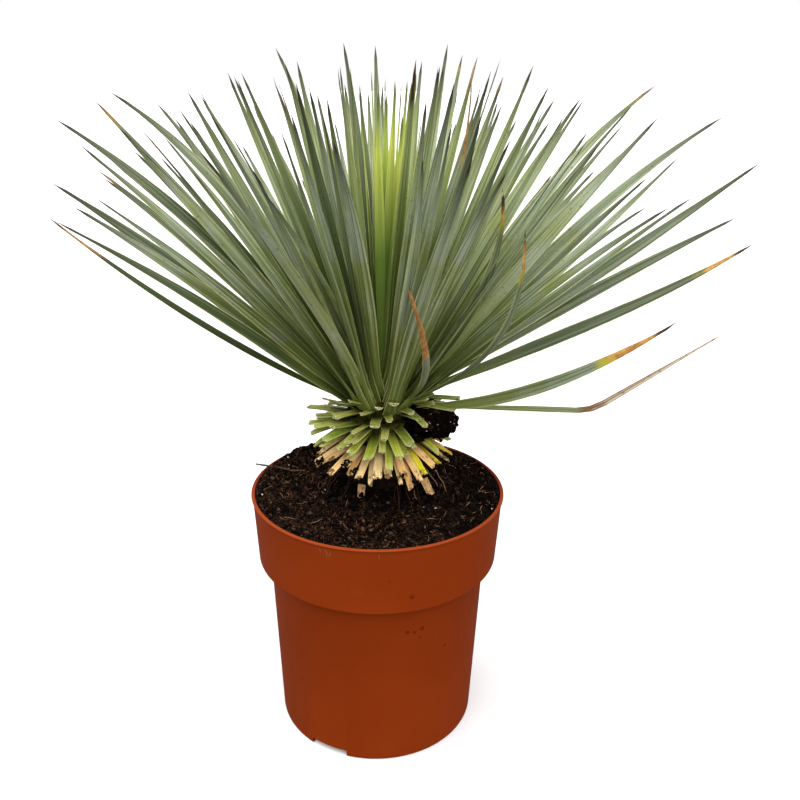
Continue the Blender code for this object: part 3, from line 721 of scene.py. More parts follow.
def soil_material(name, lift=1.0):
    """Peat: nearly black, with brown where it is drier, pale grit and painted shade."""
    n = Nodes(name)
    coarse, fine = n.noise(90.0, 6.0, 0.7), n.noise(520.0, 5.0, 0.7)
    cells = n.new("TexVoronoi")
    cells.inputs["Scale"].default_value = 900.0
    n.put(cells.inputs["Vector"], n.position())
    grit = n.span(cells.outputs["Distance"], 0.0, 0.16, 1.0, 0.0)
    grit = n.times(grit, n.span(n.noise(300.0), 0.54, 0.58))
    colour = n.layers(
        n.ramp(coarse, (0.42, (2, 1, 1)), (0.56, (14, 8, 6)), (0.70, (66, 40, 28))),
        (n.times(n.span(fine, 0.54, 0.64), 0.7 * lift), (112, 72, 48)),
        (n.times(grit, 0.9 * lift), (178, 152, 122)),
    )
    grain = n.bump(fine, 1.0, 0.0014, n.bump(coarse, 1.0, 0.0036))
    return n.finish(peat_with_painted_shade(n, colour), 0.95, grain, 0.04)


def crumb_material(name="peat_crumb", with_painted_shade=False):
    """Loose crumbs of peat, a few of them pale, with painted shade if asked."""
    n = Nodes(name)
    stops = (
        (0.0, (4, 2, 2)),
        (0.60, (18, 11, 8)),
        (0.85, (64, 43, 30)),
        (0.97, (112, 86, 64)),
        (1.0, (190, 168, 140)),
    )
    rough = n.noise(900.0, 4.0, 0.6)
    colour = n.ramp(n.attribute("tone"), *stops)
    colour = n.mix(n.span(rough, 0.40, 0.60, 0.7, 0.0), colour, (5, 3, 2))
    colour = peat_with_painted_shade(n, colour) if with_painted_shade else colour
    return n.finish(colour, 0.95, n.bump(rough, 0.8, 0.0006), 0.04)


def fibre_material():
    n = Nodes("peat_fibre")
    stops = ((0.0, (18, 11, 8)), (0.5, (74, 49, 34)), (1.0, (150, 120, 90)))
    colour = n.ramp(n.attribute("tone"), *stops)
    return n.finish(colour, 0.85, n.bump(n.noise(900.0), 0.5, 0.0003), 0.1)


def pot_side(azimuth, height):
    """A point on the pot's outer side."""
    if height > COLLAR_BOTTOM:
        share = (POT_HEIGHT - height) / (POT_HEIGHT - COLLAR_BOTTOM)
        radius = COLLAR_TOP_RADIUS - COLLAR_TAPER * share
    else:
        radius = slope_between((BODY_BASE_RADIUS, 0.0), (BODY_TOP_RADIUS, BODY_TOP), height)
    return direction(azimuth, 0.0) * radius + Vector((0.0, 0.0, height))


def pot_material():
    """Matt terracotta-coloured plastic, some small stains, and painted light and shade on the lip.
    """
    n = Nodes("terracotta_plastic")
    dust = n.times(n.span(n.noise(48.0, 6.0, 0.75), 0.58, 0.8), 0.16)
    marks = 0.0
    for azimuth, level, size in POT_MARKS:
        mark = n.spot(pot_side(math.radians(azimuth), level), size)
        marks = n.math("MAXIMUM", mark, marks)
    marks = n.times(marks, n.span(n.noise(620.0, 3.0, 0.6), 0.40, 0.54))
    # Painted highlight along the front of the lip's top, and painted shade along its back
    rim_light_and_shade = n.span(n.place("Z"), POT_HEIGHT - 0.0010, POT_HEIGHT - 0.0002)
    lip = n.mix(n.span(n.place("Y"), -0.02, 0.03), (146, 62, 30), (96, 32, 14))
    colour = n.layers(
        n.mix(n.span(n.noise(9.0, 3.0, 0.5), 0.35, 0.65), (133, 49, 10), (140, 53, 13)),
        (n.span(n.noise(520.0, 4.0, 0.6), 0.3, 0.7, 0.12, 0.0), (112, 38, 4)),
        (dust, (156, 84, 44)),
        (n.times(marks, 0.75), (84, 18, 2)),
        (n.times(rim_light_and_shade, 0.9), lip),
    )
    stretch = n.new("Mapping")
    stretch.inputs["Scale"].default_value = (1.0, 1.0, 0.12)
    n.put(stretch.inputs["Vector"], n.position())
    scuff = n.noise(240.0, 3.0, 0.6, stretch.outputs[0])
    roughness = n.plus(n.span(scuff, 0.3, 0.7, 0.50, 0.60), n.times(dust, 0.5))
    texture = n.bump(n.noise(1100.0, 2.0, 0.5), 0.08, 0.0003)
    return n.finish(colour, roughness, texture, 0.02)


# Mesh helpers


def new_object(name, data):
    thing = bpy.data.objects.new(name, data)
    bpy.context.scene.collection.objects.link(thing)
    return thing


def smoothed(mesh, crease=None):
    """A mesh with smooth shading, but sharp where faces meet at more than the crease's angle."""
    mesh.shade_smooth()
    if crease:
        mesh.set_sharp_from_angle(angle=math.radians(crease))
    return mesh


def add_piece(name, mesh, material, slot, *replaced):
    """Link a mesh as a piece that rides on the root body, in place of some solids."""
    mesh.name = name
    mesh.materials.clear()
    mesh.materials.append(material)
    thing = new_object(name, mesh)
    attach(thing, "root")
    if replaced:
        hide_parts(*replaced)


class Pile:
    """Many small closed solids that make one piece, with values at their vertices."""

    def __init__(self):
        self.points = []
        self.faces = []
        self.values = {}
        self.size = 0

    def add(self, points, faces, **values):
        points = np.asarray(points, float)
        self.points.append(points)
        self.faces += [tuple(i + self.size for i in face) for face in faces]
        for key, value in values.items():
            spread = np.broadcast_to(np.asarray(value, float), (len(points),))
            self.values.setdefault(key, []).append(spread)
        self.size += len(points)

    def mesh(self, crease=None):
        mesh = bpy.data.meshes.new("pile")
        points = np.concatenate(self.points)
        mesh.from_pydata(points.tolist(), [], self.faces)
        for key, parts in self.values.items():
            attribute = mesh.attributes.new(key, "FLOAT", "POINT")
            attribute.data.foreach_set("value", np.concatenate(parts).astype(np.float32))
        mesh.update()
        return smoothed(mesh, crease)


def mesh_of(bm):
    """A mesh of what a bmesh holds, which is freed."""
    mesh = bpy.data.meshes.new("made")
    bm.to_mesh(mesh)
    bm.free()
    return mesh


def refined(node, shift):
    """A solid's mesh with finer faces, its surface moved out by what shift says of a place."""
    bm = bmesh.new()
    bm.from_mesh(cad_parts[node].data)
    bmesh.ops.remove_doubles(bm, verts=bm.verts, dist=WELD)
    bmesh.ops.subdivide_edges(bm, edges=bm.edges, cuts=FINER_CUTS, use_grid_fill=True)
    bm.normal_update()
    for vertex in bm.verts:
        vertex.co += vertex.normal * shift(vertex.co)
    return smoothed(mesh_of(bm))


def ring_faces(levels, sides, pointed):
    """Faces of a skin over rings of vertices in turn, the last one a point or flat."""
    faces = [tuple(reversed(range(sides)))]
    for level in range(levels - 1):
        low, high = level * sides, (level + 1) * sides
        for i in range(sides):
            j = (i + 1) % sides
            faces.append((low + i, low + j, high + j, high + i))
    last = (levels - 1) * sides
    if pointed:
        tip = levels * sides
        faces += [(last + i, last + (i + 1) % sides, tip) for i in range(sides)]
    else:
        faces.append(tuple(last + i for i in range(sides)))
    return faces


def direction(azimuth, elevation):
    level = math.cos(elevation)
    return Vector((level * math.cos(azimuth), level * math.sin(azimuth), math.sin(elevation)))


def axis_point(height):
    """A point on the plant's axis."""
    return Vector((AXIS_X, AXIS_Y, height))


def across_of(heading, azimuth, twist):
    """The width and thickness directions of a blade that heads a given way."""
    side = Vector((-math.sin(azimuth), math.cos(azimuth), 0.0))
    side = (side - heading * side.dot(heading)).normalized()
    up = heading.cross(side).normalized()
    turn = Matrix.Rotation(twist, 3, heading)
    return turn @ side, turn @ up


def between(ends, share):
    """The value at a share of the way from one end to the other."""
    return ends[0] + (ends[1] - ends[0]) * share


def clamped(value):
    """A value kept between 0 and 1."""
    return min(1.0, max(0.0, value))


def turn_from(azimuth, other):
    """The turn from another azimuth to this one, at most half a turn either way."""
    return (azimuth - other + math.pi) % math.tau - math.pi


def spread_angle(highest, lowest, share):
    """An elevation between two in degrees, spread evenly over a ball's surface."""
    ends = [math.sin(math.radians(angle)) for angle in (highest, lowest)]
    return math.asin(between(ends, share))


# Leaves


def curve_path(start, azimuth, elevation, bend, sweep, length, lateness):
    """Points and headings along a leaf that bends late, or at one place if that is negative."""
    points = [Vector(start)]
    headings = [direction(azimuth, elevation)]
    for i in range(PATH_STEPS):
        share = (i + 0.5) / PATH_STEPS
        share = clamped((share + lateness) / KINK_LENGTH) if lateness < 0 else share**lateness
        heading = direction(azimuth + sweep * share, elevation + bend * share)
        points.append(points[-1] + heading * (length / PATH_STEPS))
        headings.append(heading)
    return points, headings


def leaf_width(share):
    """Width of a leaf as a share of its widest, from root (0) to tip (1)."""
    if share < LEAF_SWELL:
        clasp = LEAF_CLASP * max(0.0, 1 - share / LEAF_CLASP_END)
        return LEAF_ROOT_WIDTH + (1 - LEAF_ROOT_WIDTH) * share / LEAF_SWELL + clasp
    if share < LEAF_TAPER:
        return 1.0
    return 1 - ((share - LEAF_TAPER) / (1 - LEAF_TAPER)) ** LEAF_TIP_POWER


def head_point(azimuth, latitude):
    """A point on the crown's head."""
    return axis_point(HEAD_CENTRE) + HEAD_RADIUS * direction(azimuth, latitude)


def facing_front(azimuth):
    """1 for a leaf that faces the front, 0 for one that faces away from it."""
    turn = math.degrees(abs(turn_from(azimuth, FRONT_AZIMUTH)))
    share = max(0.0, 1 - turn / FRONT_SPREAD)
    return min(1.0, 2 * share) ** 1.5


def parted(azimuth):
    """Push a leaf aside from the parting at the front, where the young leaves show."""
    turn = turn_from(azimuth, FRONT_AZIMUTH)
    push = PARTING_PUSH * math.exp(-((turn / PARTING_WIDTH) ** 2))
    return azimuth + math.copysign(push, turn)


def leaned(path):
    """A leaf's path as it leans with the crown."""
    points, headings = path
    base = points[0].z
    return [point + Vector((CROWN_LEAN * (point.z - base), 0, 0)) for point in points], headings


# What a leaf is like where its rule says nothing else
PLAIN_LEAF = {
    "twist": 0.0,
    "roll": 0.0,
    "inner": 0.0,
    "dry": NO_DRY_TIP,
    "looks": PLAIN_DRY_LOOK,
    "tone": None,
}


def crown_rule():
    """Every leaf of the crown in turn, from the steep inner ones to the low outer ones."""
    rng = random.Random(LEAF_SEED)
    leaves = []
    for i in range(LEAF_COUNT):
        azimuth = parted(i * GOLDEN_ANGLE + rng.uniform(-0.10, 0.10))
        lowest = between((LOWEST_SIDE_LEAF, LOWEST_FRONT_LEAF), facing_front(azimuth))
        share = (i + 0.5) / LEAF_COUNT
        elevation = spread_angle(STEEPEST_LEAF, lowest, share)
        latitude = spread_angle(HIGHEST_ROOT, LOWEST_ROOT, share)
        spread = math.cos(elevation)
        bend = math.radians(rng.uniform(-15, 5) * spread - 1)
        sweep = math.radians(rng.uniform(-6, 6))
        length = (CENTRE_LEAF_LENGTH + SIDE_LEAF_GAIN * spread) * rng.uniform(0.93, 1.05)
        leaf = dict(PLAIN_LEAF, azimuth=azimuth, twist=math.radians(rng.uniform(-35, 35)))
        elevation += math.radians(rng.uniform(-3, 3)) * spread
        leaf["roll"] = math.radians(SIDE_ROLL * math.cos(azimuth) + rng.uniform(-26, 26))
        leaf["width"] = LEAF_WIDTH * rng.uniform(0.82, 1.06)
        leaf["inner"] = max(0.0, 1 - INNER_FADE * share)
        start = head_point(azimuth, latitude)
        path = curve_path(start, azimuth, elevation, bend, sweep, length, BEND_LATENESS)
        leaf["path"] = leaned(path)
        turn = abs(turn_from(azimuth, THIN_AZIMUTH))
        if i % 2 == 0 or share < THIN_START or turn > THIN_SPREAD:
            leaves.append(leaf)
    return leaves


def kept_rule():
    """The leaves that are placed one by one."""
    leaves = []
    for i, row in enumerate(KEPT_LEAVES):
        *angles, length, latitude, lateness, roll, width, dry = row
        azimuth, *turns = (math.radians(angle) for angle in angles)
        start = head_point(azimuth, math.radians(latitude))
        path = curve_path(start, azimuth, *turns, length, lateness)
        leaf = dict(PLAIN_LEAF, azimuth=azimuth, path=path, roll=math.radians(roll))
        leaf.update(width=LEAF_WIDTH * width, dry=dry if dry < 1 else NO_DRY_TIP)
        leaf.update(looks=DRY_LOOKS.get(i, PLAIN_DRY_LOOK), tone=LEAF_TONES.get(i))
        leaves.append(leaf)
    return leaves


def young_rule():
    """The spears at the growing point."""
    rng = random.Random(YOUNG_SEED)
    leaves = []
    for i in range(YOUNG_COUNT):
        share = (i + 0.5) / YOUNG_COUNT
        azimuth = i * GOLDEN_ANGLE
        start = axis_point(HEAD_TOP + GAP + BUD_HEIGHT)
        start += direction(azimuth, 0.0) * (YOUNG_ROOT_RING * math.sqrt(share))
        slope = math.radians(between(YOUNG_SLOPES, share))
        length = YOUNG_LENGTH * rng.uniform(0.85, 1.0)
        path = leaned(curve_path(start, azimuth, slope, 0.0, 0.0, length, BEND_LATENESS))
        twist = math.radians(rng.uniform(-40, 40))
        leaf = dict(PLAIN_LEAF, azimuth=azimuth, twist=twist, width=YOUNG_WIDTH, path=path)
        leaves.append(leaf)
    return leaves


# Places of a blade's edges and lines across its upper and its lower side
UPPER = (-1.0, -0.92, -0.62, -0.30, 0.0, 0.30, 0.62, 0.92)
LOWER = (1.0, 0.80, 0.40, 0.0, -0.40, -0.80)


def leaf_section(width, thickness, fold):
    """Points (across, up, share across, side) round a blade: a shallow gutter above."""
    points = []
    for shares, height, power, face in ((UPPER, 0.46, 2.2, 1.0), (LOWER, -0.54, 1.7, -1.0)):
        for share in shares:
            lift = height * thickness * (1 - abs(share) ** power)
            points.append((share * width / 2, lift + fold * width * share * share, share, face))
    return points


def add_leaf(pile, leaf, rng):
    """One leaf with a fine skin, which follows the same path as its solid."""
    points, headings = leaf["path"]
    width = leaf["width"]
    fold = rng.uniform(0.02, 0.10)
    wave, phase = rng.uniform(0.0, 0.0009), rng.uniform(0, math.tau)
    bow = rng.uniform(-0.10, 0.10)
    rows = []
    for station in range(PATH_STEPS):
        share = station / PATH_STEPS
        turn = leaf["roll"] * min(1.0, share / ROLL_SHARE) + leaf["twist"] * share
        turn += bow * math.sin(math.pi * share)
        side, up = across_of(headings[station], leaf["azimuth"], turn)
        centre = points[station] + up * (wave * math.sin(phase + share * 9) * share)
        if station == 0:
            centre = centre - headings[0] * LEAF_SINK
        wide = max(LEAF_FULLNESS * width * leaf_width(share), LEAF_TIP_WIDTH)
        thick = LEAF_THICKNESS * (1 - LEAF_THINNING * share) * min(1.0, wide / width + 0.55)
        for reach, lift, place, face in leaf_section(wide, thick, fold * (1 - share)):
            rows.append((centre + side * reach + up * lift, share, place, face))
    rows.append((points[-1], 1.0, 0.0, 1.0))
    places, along, across, sides = zip(*rows)
    faces = ring_faces(PATH_STEPS, len(UPPER) + len(LOWER), True)
    east = math.cos(leaf["azimuth"])
    # Leaves at the right get painted light in their tone
    tone = clamped(TONE_LEAST + PAINTED_LIGHT_RIGHT * east + TONE_CHANCE * rng.random())
    looks = {"tone": leaf["tone"] or tone, "dry": leaf["dry"], "inner": leaf["inner"]}
    looks.update(zip(("gold", "pale", "burnt"), leaf["looks"]))
    # Low leaves get painted shade, less at the right
    rise = (points[-1] - points[0]).normalized().z
    looks["low"] = clamped((LOW_RISE - rise) / LOW_SPAN) * (LOW_SHADE - LOW_RIGHT * east)
    pile.add(places, faces, along=along, across=across, side=sides, **looks)


def build_crown():
    """The mature leaves, in a few pieces by turn round the crown, and their head."""
    rng = random.Random(LEAF_SKIN_SEED)
    leaves = crown_rule()
    for leaf in leaves:
        if rng.random() < DRY_TIP_SHARE:
            leaf.update(dry=rng.uniform(*DRY_TIP_STARTS), looks=DRY_TIP_LOOK)
    leaves[BROWN_LEAF]["looks"] = BROWN_LOOK
    piles = [Pile() for _ in range(CROWN_SECTORS)]
    for leaf in leaves + kept_rule():
        turn = (leaf["azimuth"] % math.tau) / math.tau
        add_leaf(piles[int(turn * CROWN_SECTORS) % CROWN_SECTORS], leaf, rng)
    material = leaf_material()
    for i, pile in enumerate(piles):
        add_piece(f"crown_{i}", pile.mesh(LEAF_CREASE), material, "leaf", "crown_leaves")
    profile = [(0.0, HEAD_TOP)]
    for i in range(HEAD_RINGS + 1):
        height = HEAD_TOP + (NECK_TOP + GAP - HEAD_TOP) * i / HEAD_RINGS
        profile.append((math.sqrt(HEAD_RADIUS**2 - (height - HEAD_CENTRE) ** 2), height))
    profile.append((0.0, NECK_TOP + GAP))
    head = turned_mesh(profile, HEAD_STEPS, (AXIS_X, AXIS_Y))
    add_piece("crown_head", head, rough_material("head_core"), "leaf", "crown_leaves")


def build_young():
    rng = random.Random(YOUNG_SKIN_SEED)
    pile = Pile()
    for leaf in young_rule():
        add_leaf(pile, leaf, rng)
    mesh = pile.mesh(LEAF_CREASE)
    add_piece("young_spears", mesh, young_material(), "young_leaf", "young_leaves")


# Stubs


def stub_rule(ring):
    """Stubs in a spiral up the trunk or the head's foot, less hanging the higher they are."""
    rng = random.Random(ring["seed"])
    swing, tilt, twist = ring["swing"], ring["tilt"], ring["twist"]
    stubs = []
    for i in range(ring["count"]):
        share = (i + 0.5) / ring["count"]
        stub = {"share": share, "level": between(ring["levels"], share)}
        stub["radius"] = ring["radius"]
        stub["azimuth"] = (i + ring["shift"]) * GOLDEN_ANGLE + rng.uniform(-swing, swing)
        slope = between(ring["slopes"], share) + rng.uniform(-tilt, tilt)
        stub["slope"] = math.radians(slope)
        stub["length"] = ring["length"] * rng.uniform(*ring["lengths"])
        stub["twist"] = math.radians(rng.uniform(-twist, twist))
        if ring["widths"]:
            stub["width"] = rng.uniform(*ring["widths"])
        stubs.append(stub)
    return stubs


def off_clod(stub):
    """False for a stub above the lowest in the sector where the clod lies on them."""
    turn = abs(turn_from(stub["azimuth"], CLOD_AZIMUTH))
    return stub["share"] <= CLOD_STUB_SHARE or turn > CLOD_SECTOR


def placed_stub(azimuth, slope, **rest):
    """A listed stub, its angles in degrees."""
    return dict(rest, azimuth=math.radians(azimuth), slope=math.radians(slope))


def add_stub(pile, stub, rng, **values):
    """A cut leaf base: a bent, dished strap with an uneven cut end. Its end's frame is returned."""
    root = axis_point(stub["level"]) + direction(stub["azimuth"], 0.0) * stub["radius"]
    heading = direction(stub["azimuth"], stub["slope"])
    side, up = across_of(heading, stub["azimuth"], stub["twist"])
    slant, dish = rng.uniform(-0.35, 0.35), rng.uniform(0.04, 0.26)
    sag, phase = rng.uniform(-0.12, 0.05), rng.uniform(0, math.tau)
    bow, flare = rng.uniform(-0.10, 0.10), rng.uniform(0.82, 1.14)
    wide = STUB_WIDTH * stub["width"]
    rows = []
    for level in range(STUB_STATIONS + len(STUB_END)):
        share = min(1.0, level / STUB_STATIONS)
        end = max(0, level - STUB_STATIONS)
        shrink, flatten, back = STUB_END[end] if share == 1.0 else (1.0, 1.0, 0.0)
        taper = 1.0 + (flare - 1.0) * share + 0.10 * (1 - share) ** 2
        reach = -STUB_SINK + (stub["length"] + STUB_SINK) * share - back
        centre = root + heading * reach
        centre += (up * sag + side * bow) * (stub["length"] * share * share)
        half = wide / 2 * taper * shrink
        deep = STUB_THICKNESS / 2 * (1.15 - 0.35 * share) * flatten
        for i in range(STUB_SIDES):
            angle = math.tau * i / STUB_SIDES
            place, turn = math.cos(angle), math.sin(angle)
            lift = deep * math.copysign(abs(turn) ** 0.7, turn) + dish * wide * place * place
            cut = slant * place * wide / 2 + STUB_RAGGED * math.sin(place * 5 + phase)
            cut *= share == 1.0
            spot = centre + side * (half * place) + up * lift + heading * cut
            rows.append((spot, 1.05 if end else share, place))
    places, along, across = zip(*rows)
    faces = ring_faces(STUB_STATIONS + len(STUB_END), STUB_SIDES, False)
    pile.add(places, faces, along=along, across=across, tone=rng.random(), **values)
    return centre, heading, side, up


def build_dry_stubs(rng):
    """The dry stubs with peat on their ends, and the trunk."""
    pile, peat, template = Pile(), Pile(), lump_template(2)
    for stub in stub_rule(DRY_STUBS):
        stub["width"] = rng.uniform(0.55, 1.02)
        stub["length"] *= rng.uniform(0.84, 1.05)
        yellow = 1.0 if rng.random() < YELLOW_STUB_SHARE else 0.0
        end, heading, side, up = add_stub(pile, stub, rng, yellow=yellow)
        place, face = rng.gauss(0, 0.25), rng.choice((1, -1, -1))
        for _ in range(rng.choice(PEAT_ON_STUB)):
            spot = end + side * (place + rng.gauss(0, 0.22)) * STUB_WIDTH
            spot -= heading * (rng.uniform(-0.0008, 1.0) ** 2 * PEAT_REACH)
            spot += up * (face * rng.uniform(*PEAT_HEIGHTS))
            size = drawn_size(rng, *PEAT_SIZE)
            add_lump(peat, template, spot, size, rng, tone=0.8 * rng.random())
    add_piece("clinging_peat", peat.mesh(CRUMB_CREASE), crumb_material(), "dry_stub")
    mesh = pile.mesh(STUB_CREASE)
    add_piece("dry_stubs", mesh, dry_stub_material(), "dry_stub", "trunk")
    profile = [(0.0, TRUNK_TOP), (TRUNK_RADIUS, TRUNK_TOP), (TRUNK_RADIUS, TRUNK_FLARE_TOP)]
    profile += [(TRUNK_SOIL_RADIUS, SOIL_EDGE), (TRUNK_BOTTOM_RADIUS, TRUNK_BOTTOM)]
    mesh = turned_mesh(profile + [(0.0, TRUNK_BOTTOM)], CORE_STEPS, (AXIS_X, AXIS_Y))
    add_piece("trunk_core", mesh, rough_material("trunk_bark"), "dry_stub", "trunk")


def build_green_stubs(rng):
    """The green stubs on the neck, on the head's foot and over the clod, and their core."""
    green = list(filter(off_clod, stub_rule(GREEN_STUBS)))
    green += [dict(stub, share=1.0) for stub in stub_rule(HEAD_STUBS)]
    for azimuth, level, slope, length, width in CLOD_STUBS:
        place = {"level": level, "radius": HEAD_RADIUS, "twist": 0.0, "share": 0.7}
        green.append(placed_stub(azimuth, slope, length=length, width=width, **place))
    pile = Pile()
    for stub in green:
        stub.setdefault("width", rng.uniform(0.66, 1.15))
        stub["length"] *= rng.uniform(0.84, 1.05)
        grey = clamped((stub["share"] - 0.45) * 3 + rng.uniform(-0.3, 0.3))
        add_stub(pile, stub, rng, grey=grey)
    mesh = pile.mesh(STUB_CREASE)
    add_piece("green_stub_ring", mesh, green_stub_material(), "green_stub", "green_stubs")
    foot = TRUNK_TOP + GAP
    profile = [(0.0, NECK_TOP), (TRUNK_RADIUS, NECK_TOP), (TRUNK_RADIUS, foot), (0.0, foot)]
    mesh = turned_mesh(profile, CORE_STEPS, (AXIS_X, AXIS_Y))
    add_piece("neck_core", mesh, rough_material("head_core"), "green_stub", "green_stubs")


def build_stubs():
    rng = random.Random(STUB_SKIN_SEED)
    build_dry_stubs(rng)
    build_green_stubs(rng)


# Pot and soil


def turned_mesh(profile, steps, centre=(0.0, 0.0)):
    """A mesh turned round a vertical axis, from a profile that starts and ends on it."""
    points = [(*centre, profile[0][1])]
    for radius, height in profile[1:-1]:
        for i in range(steps):
            angle = math.tau * i / steps
            x = centre[0] + radius * math.cos(angle)
            points.append((x, centre[1] + radius * math.sin(angle), height))
    points.append((*centre, profile[-1][1]))
    faces = []
    last = len(points) - 1
    for i in range(steps):
        j = (i + 1) % steps
        faces.append((0, 1 + i, 1 + j))
        for ring in range(len(profile) - 3):
            low, high = 1 + ring * steps, 1 + (ring + 1) * steps
            faces.append((low + i, high + i, high + j, low + j))
        foot = 1 + (len(profile) - 3) * steps
        faces.append((foot + i, last, foot + j))
    mesh = bpy.data.meshes.new("turned")
    mesh.from_pydata(points, [], faces)
    mesh.update()
    return smoothed(mesh, TURNED_CREASE)


def arc(centre, radius, start, end, count):
    """Points on a circle's arc in the profile plane, angles in degrees from outward."""
    angles = [math.radians(start + (end - start) * i / count) for i in range(count + 1)]
    return [
        (centre[0] + radius * math.cos(a), centre[1] + radius * math.sin(a)) for a in angles
    ]


def slope_between(low, high, height):
    """Radius on the straight line between two (radius, height) points."""
    return between((low[0], high[0]), (height - low[1]) / (high[1] - low[1]))


def pot_outer_profile():
    """The pot's outer side from the rim to the foot."""
    lip = (POT_RIM_RADIUS - LIP_ROUNDING, POT_HEIGHT - LIP_ROUNDING)
    points = arc(lip, LIP_ROUNDING, 90, 0, 5)
    points += [(COLLAR_TOP_RADIUS + LIP_LEDGE, POT_HEIGHT - LIP_DEPTH)]
    points += [(COLLAR_TOP_RADIUS, POT_HEIGHT - LIP_DEPTH - LIP_BEVEL)]
    corner = (COLLAR_FOOT_RADIUS - COLLAR_ROUNDING, COLLAR_BOTTOM + COLLAR_ROUNDING)
    points += arc(corner, COLLAR_ROUNDING, 0, -80, 6)
    points += [(BODY_TOP_RADIUS + SHOULDER_ROUNDING, BODY_TOP + SHOULDER_ROUNDING)]
    points += [(BODY_TOP_RADIUS, BODY_TOP - SHOULDER_ROUNDING)]
    foot = (BODY_BASE_RADIUS - BASE_ROUNDING, BASE_ROUNDING)
    return points + arc(foot, BASE_ROUNDING, 0, -90, 6)


def pot_inner_radius(height):
    """Radius of the pot's inner side, which steps in behind the collar's foot."""
    body_top = (BODY_TOP_RADIUS - POT_WALL, BODY_TOP)
    step_top = (COLLAR_FOOT_RADIUS - POT_WALL, COLLAR_BOTTOM + POT_WALL)
    if height <= body_top[1]:
        return slope_between((BODY_BASE_RADIUS - POT_WALL, POT_FLOOR), body_top, height)
    if height <= step_top[1]:
        return slope_between(body_top, step_top, height)
    return slope_between(step_top, (COLLAR_TOP_RADIUS - POT_WALL, POT_HEIGHT), height)


def channel_turns():
    return [CHANNEL_AZIMUTH + i * math.tau / CHANNEL_COUNT for i in range(CHANNEL_COUNT)]


def channel_block(grow, outer_radius, foot):
    """Three boxes across the foot of the wall, where the pot drains."""
    bm = bmesh.new()
    length = outer_radius - CHANNEL_INNER_RADIUS + grow
    width = CHANNEL_WIDTH + 2 * grow
    top = CHANNEL_HEIGHT + grow
    middle = CHANNEL_INNER_RADIUS - grow + length / 2
    for azimuth in channel_turns():
        box = bmesh.ops.create_cube(bm, size=1.0)
        bmesh.ops.scale(bm, vec=(length, width, top - foot), verts=box["verts"])
        bmesh.ops.translate(bm, vec=(middle, 0, (top + foot) / 2), verts=box["verts"])
        turn = Matrix.Rotation(azimuth, 4, "Z")
        bmesh.ops.transform(bm, matrix=turn, verts=box["verts"])
    return mesh_of(bm)


def drain_holes():
    """A round hole through each channel's ceiling."""
    bm = bmesh.new()
    for azimuth in channel_turns():
        place = DRAIN_HOLE_PLACE * math.cos(azimuth), DRAIN_HOLE_PLACE * math.sin(azimuth)
        bmesh.ops.create_cone(
            bm,
            cap_ends=True,
            segments=24,
            radius1=DRAIN_HOLE_RADIUS,
            radius2=DRAIN_HOLE_RADIUS,
            depth=CHANNEL_HEIGHT,
            matrix=Matrix.Translation((*place, CHANNEL_HEIGHT)),
        )
    return mesh_of(bm)


def boolean(mesh, other, operation):
    """Join one mesh with another or cut it away, and return the new mesh."""
    thing, cutter = new_object("whole", mesh), new_object("cutter", other)
    modifier = thing.modifiers.new("Cut", "BOOLEAN")
    modifier.operation = operation
    modifier.object = cutter
    graph = bpy.context.evaluated_depsgraph_get()
    graph.update()
    made = bpy.data.meshes.new_from_object(thing.evaluated_get(graph))
    for each in (thing, cutter):
        bpy.data.objects.remove(each, do_unlink=True)
    return made


def build_pot():
    heights = (POT_FLOOR, BODY_TOP, COLLAR_BOTTOM + POT_WALL, POT_HEIGHT)
    inner = [(pot_inner_radius(height), height) for height in heights]
    profile = [(0.0, POT_FLOOR)] + inner + pot_outer_profile() + [(0.0, 0.0)]
    bm = bmesh.new()
    bm.from_mesh(turned_mesh(profile, POT_STEPS))
    bmesh.ops.recalc_face_normals(bm, faces=bm.faces)
    mesh = mesh_of(bm)
    inside = BODY_BASE_RADIUS - POT_WALL / 2
    can = [(0.0, POT_HEIGHT), (inside, POT_HEIGHT), (inside, -POT_HEIGHT), (0.0, -POT_HEIGHT)]
    raised = channel_block(POT_WALL, BODY_BASE_RADIUS, POT_FLOOR / 2)
    raised = boolean(raised, turned_mesh(can, POT_STEPS), "INTERSECT")
    mesh = boolean(mesh, raised, "UNION")
    mesh = boolean(mesh, channel_block(0.0, BODY_TOP_RADIUS, -POT_FLOOR), "DIFFERENCE")
    mesh = boolean(mesh, drain_holes(), "DIFFERENCE")
    add_piece("pot_shell", smoothed(mesh, POT_CREASE), pot_material(), "pot", "pot")


def soil_height(x, y):
    """Height of the soil's surface: a mound round the trunk with lumps."""
    share = min(1.0, math.hypot(x - AXIS_X, y - AXIS_Y) / SOIL_RADIUS)
    mound = SOIL_MOUND * (1 - share) ** 1.3
    coarse = noise.noise(Vector((x, y, 0.0)) * SOIL_COARSENESS)
    fine = noise.noise(Vector((x, y, 3.0)) * SOIL_FINENESS) / 2
    edge = min(1.0, (POT_RIM_RADIUS - math.hypot(x, y)) / SOIL_SMOOTH_EDGE)
    return SOIL_EDGE + mound + SOIL_ROUGHNESS * (coarse + fine) * edge


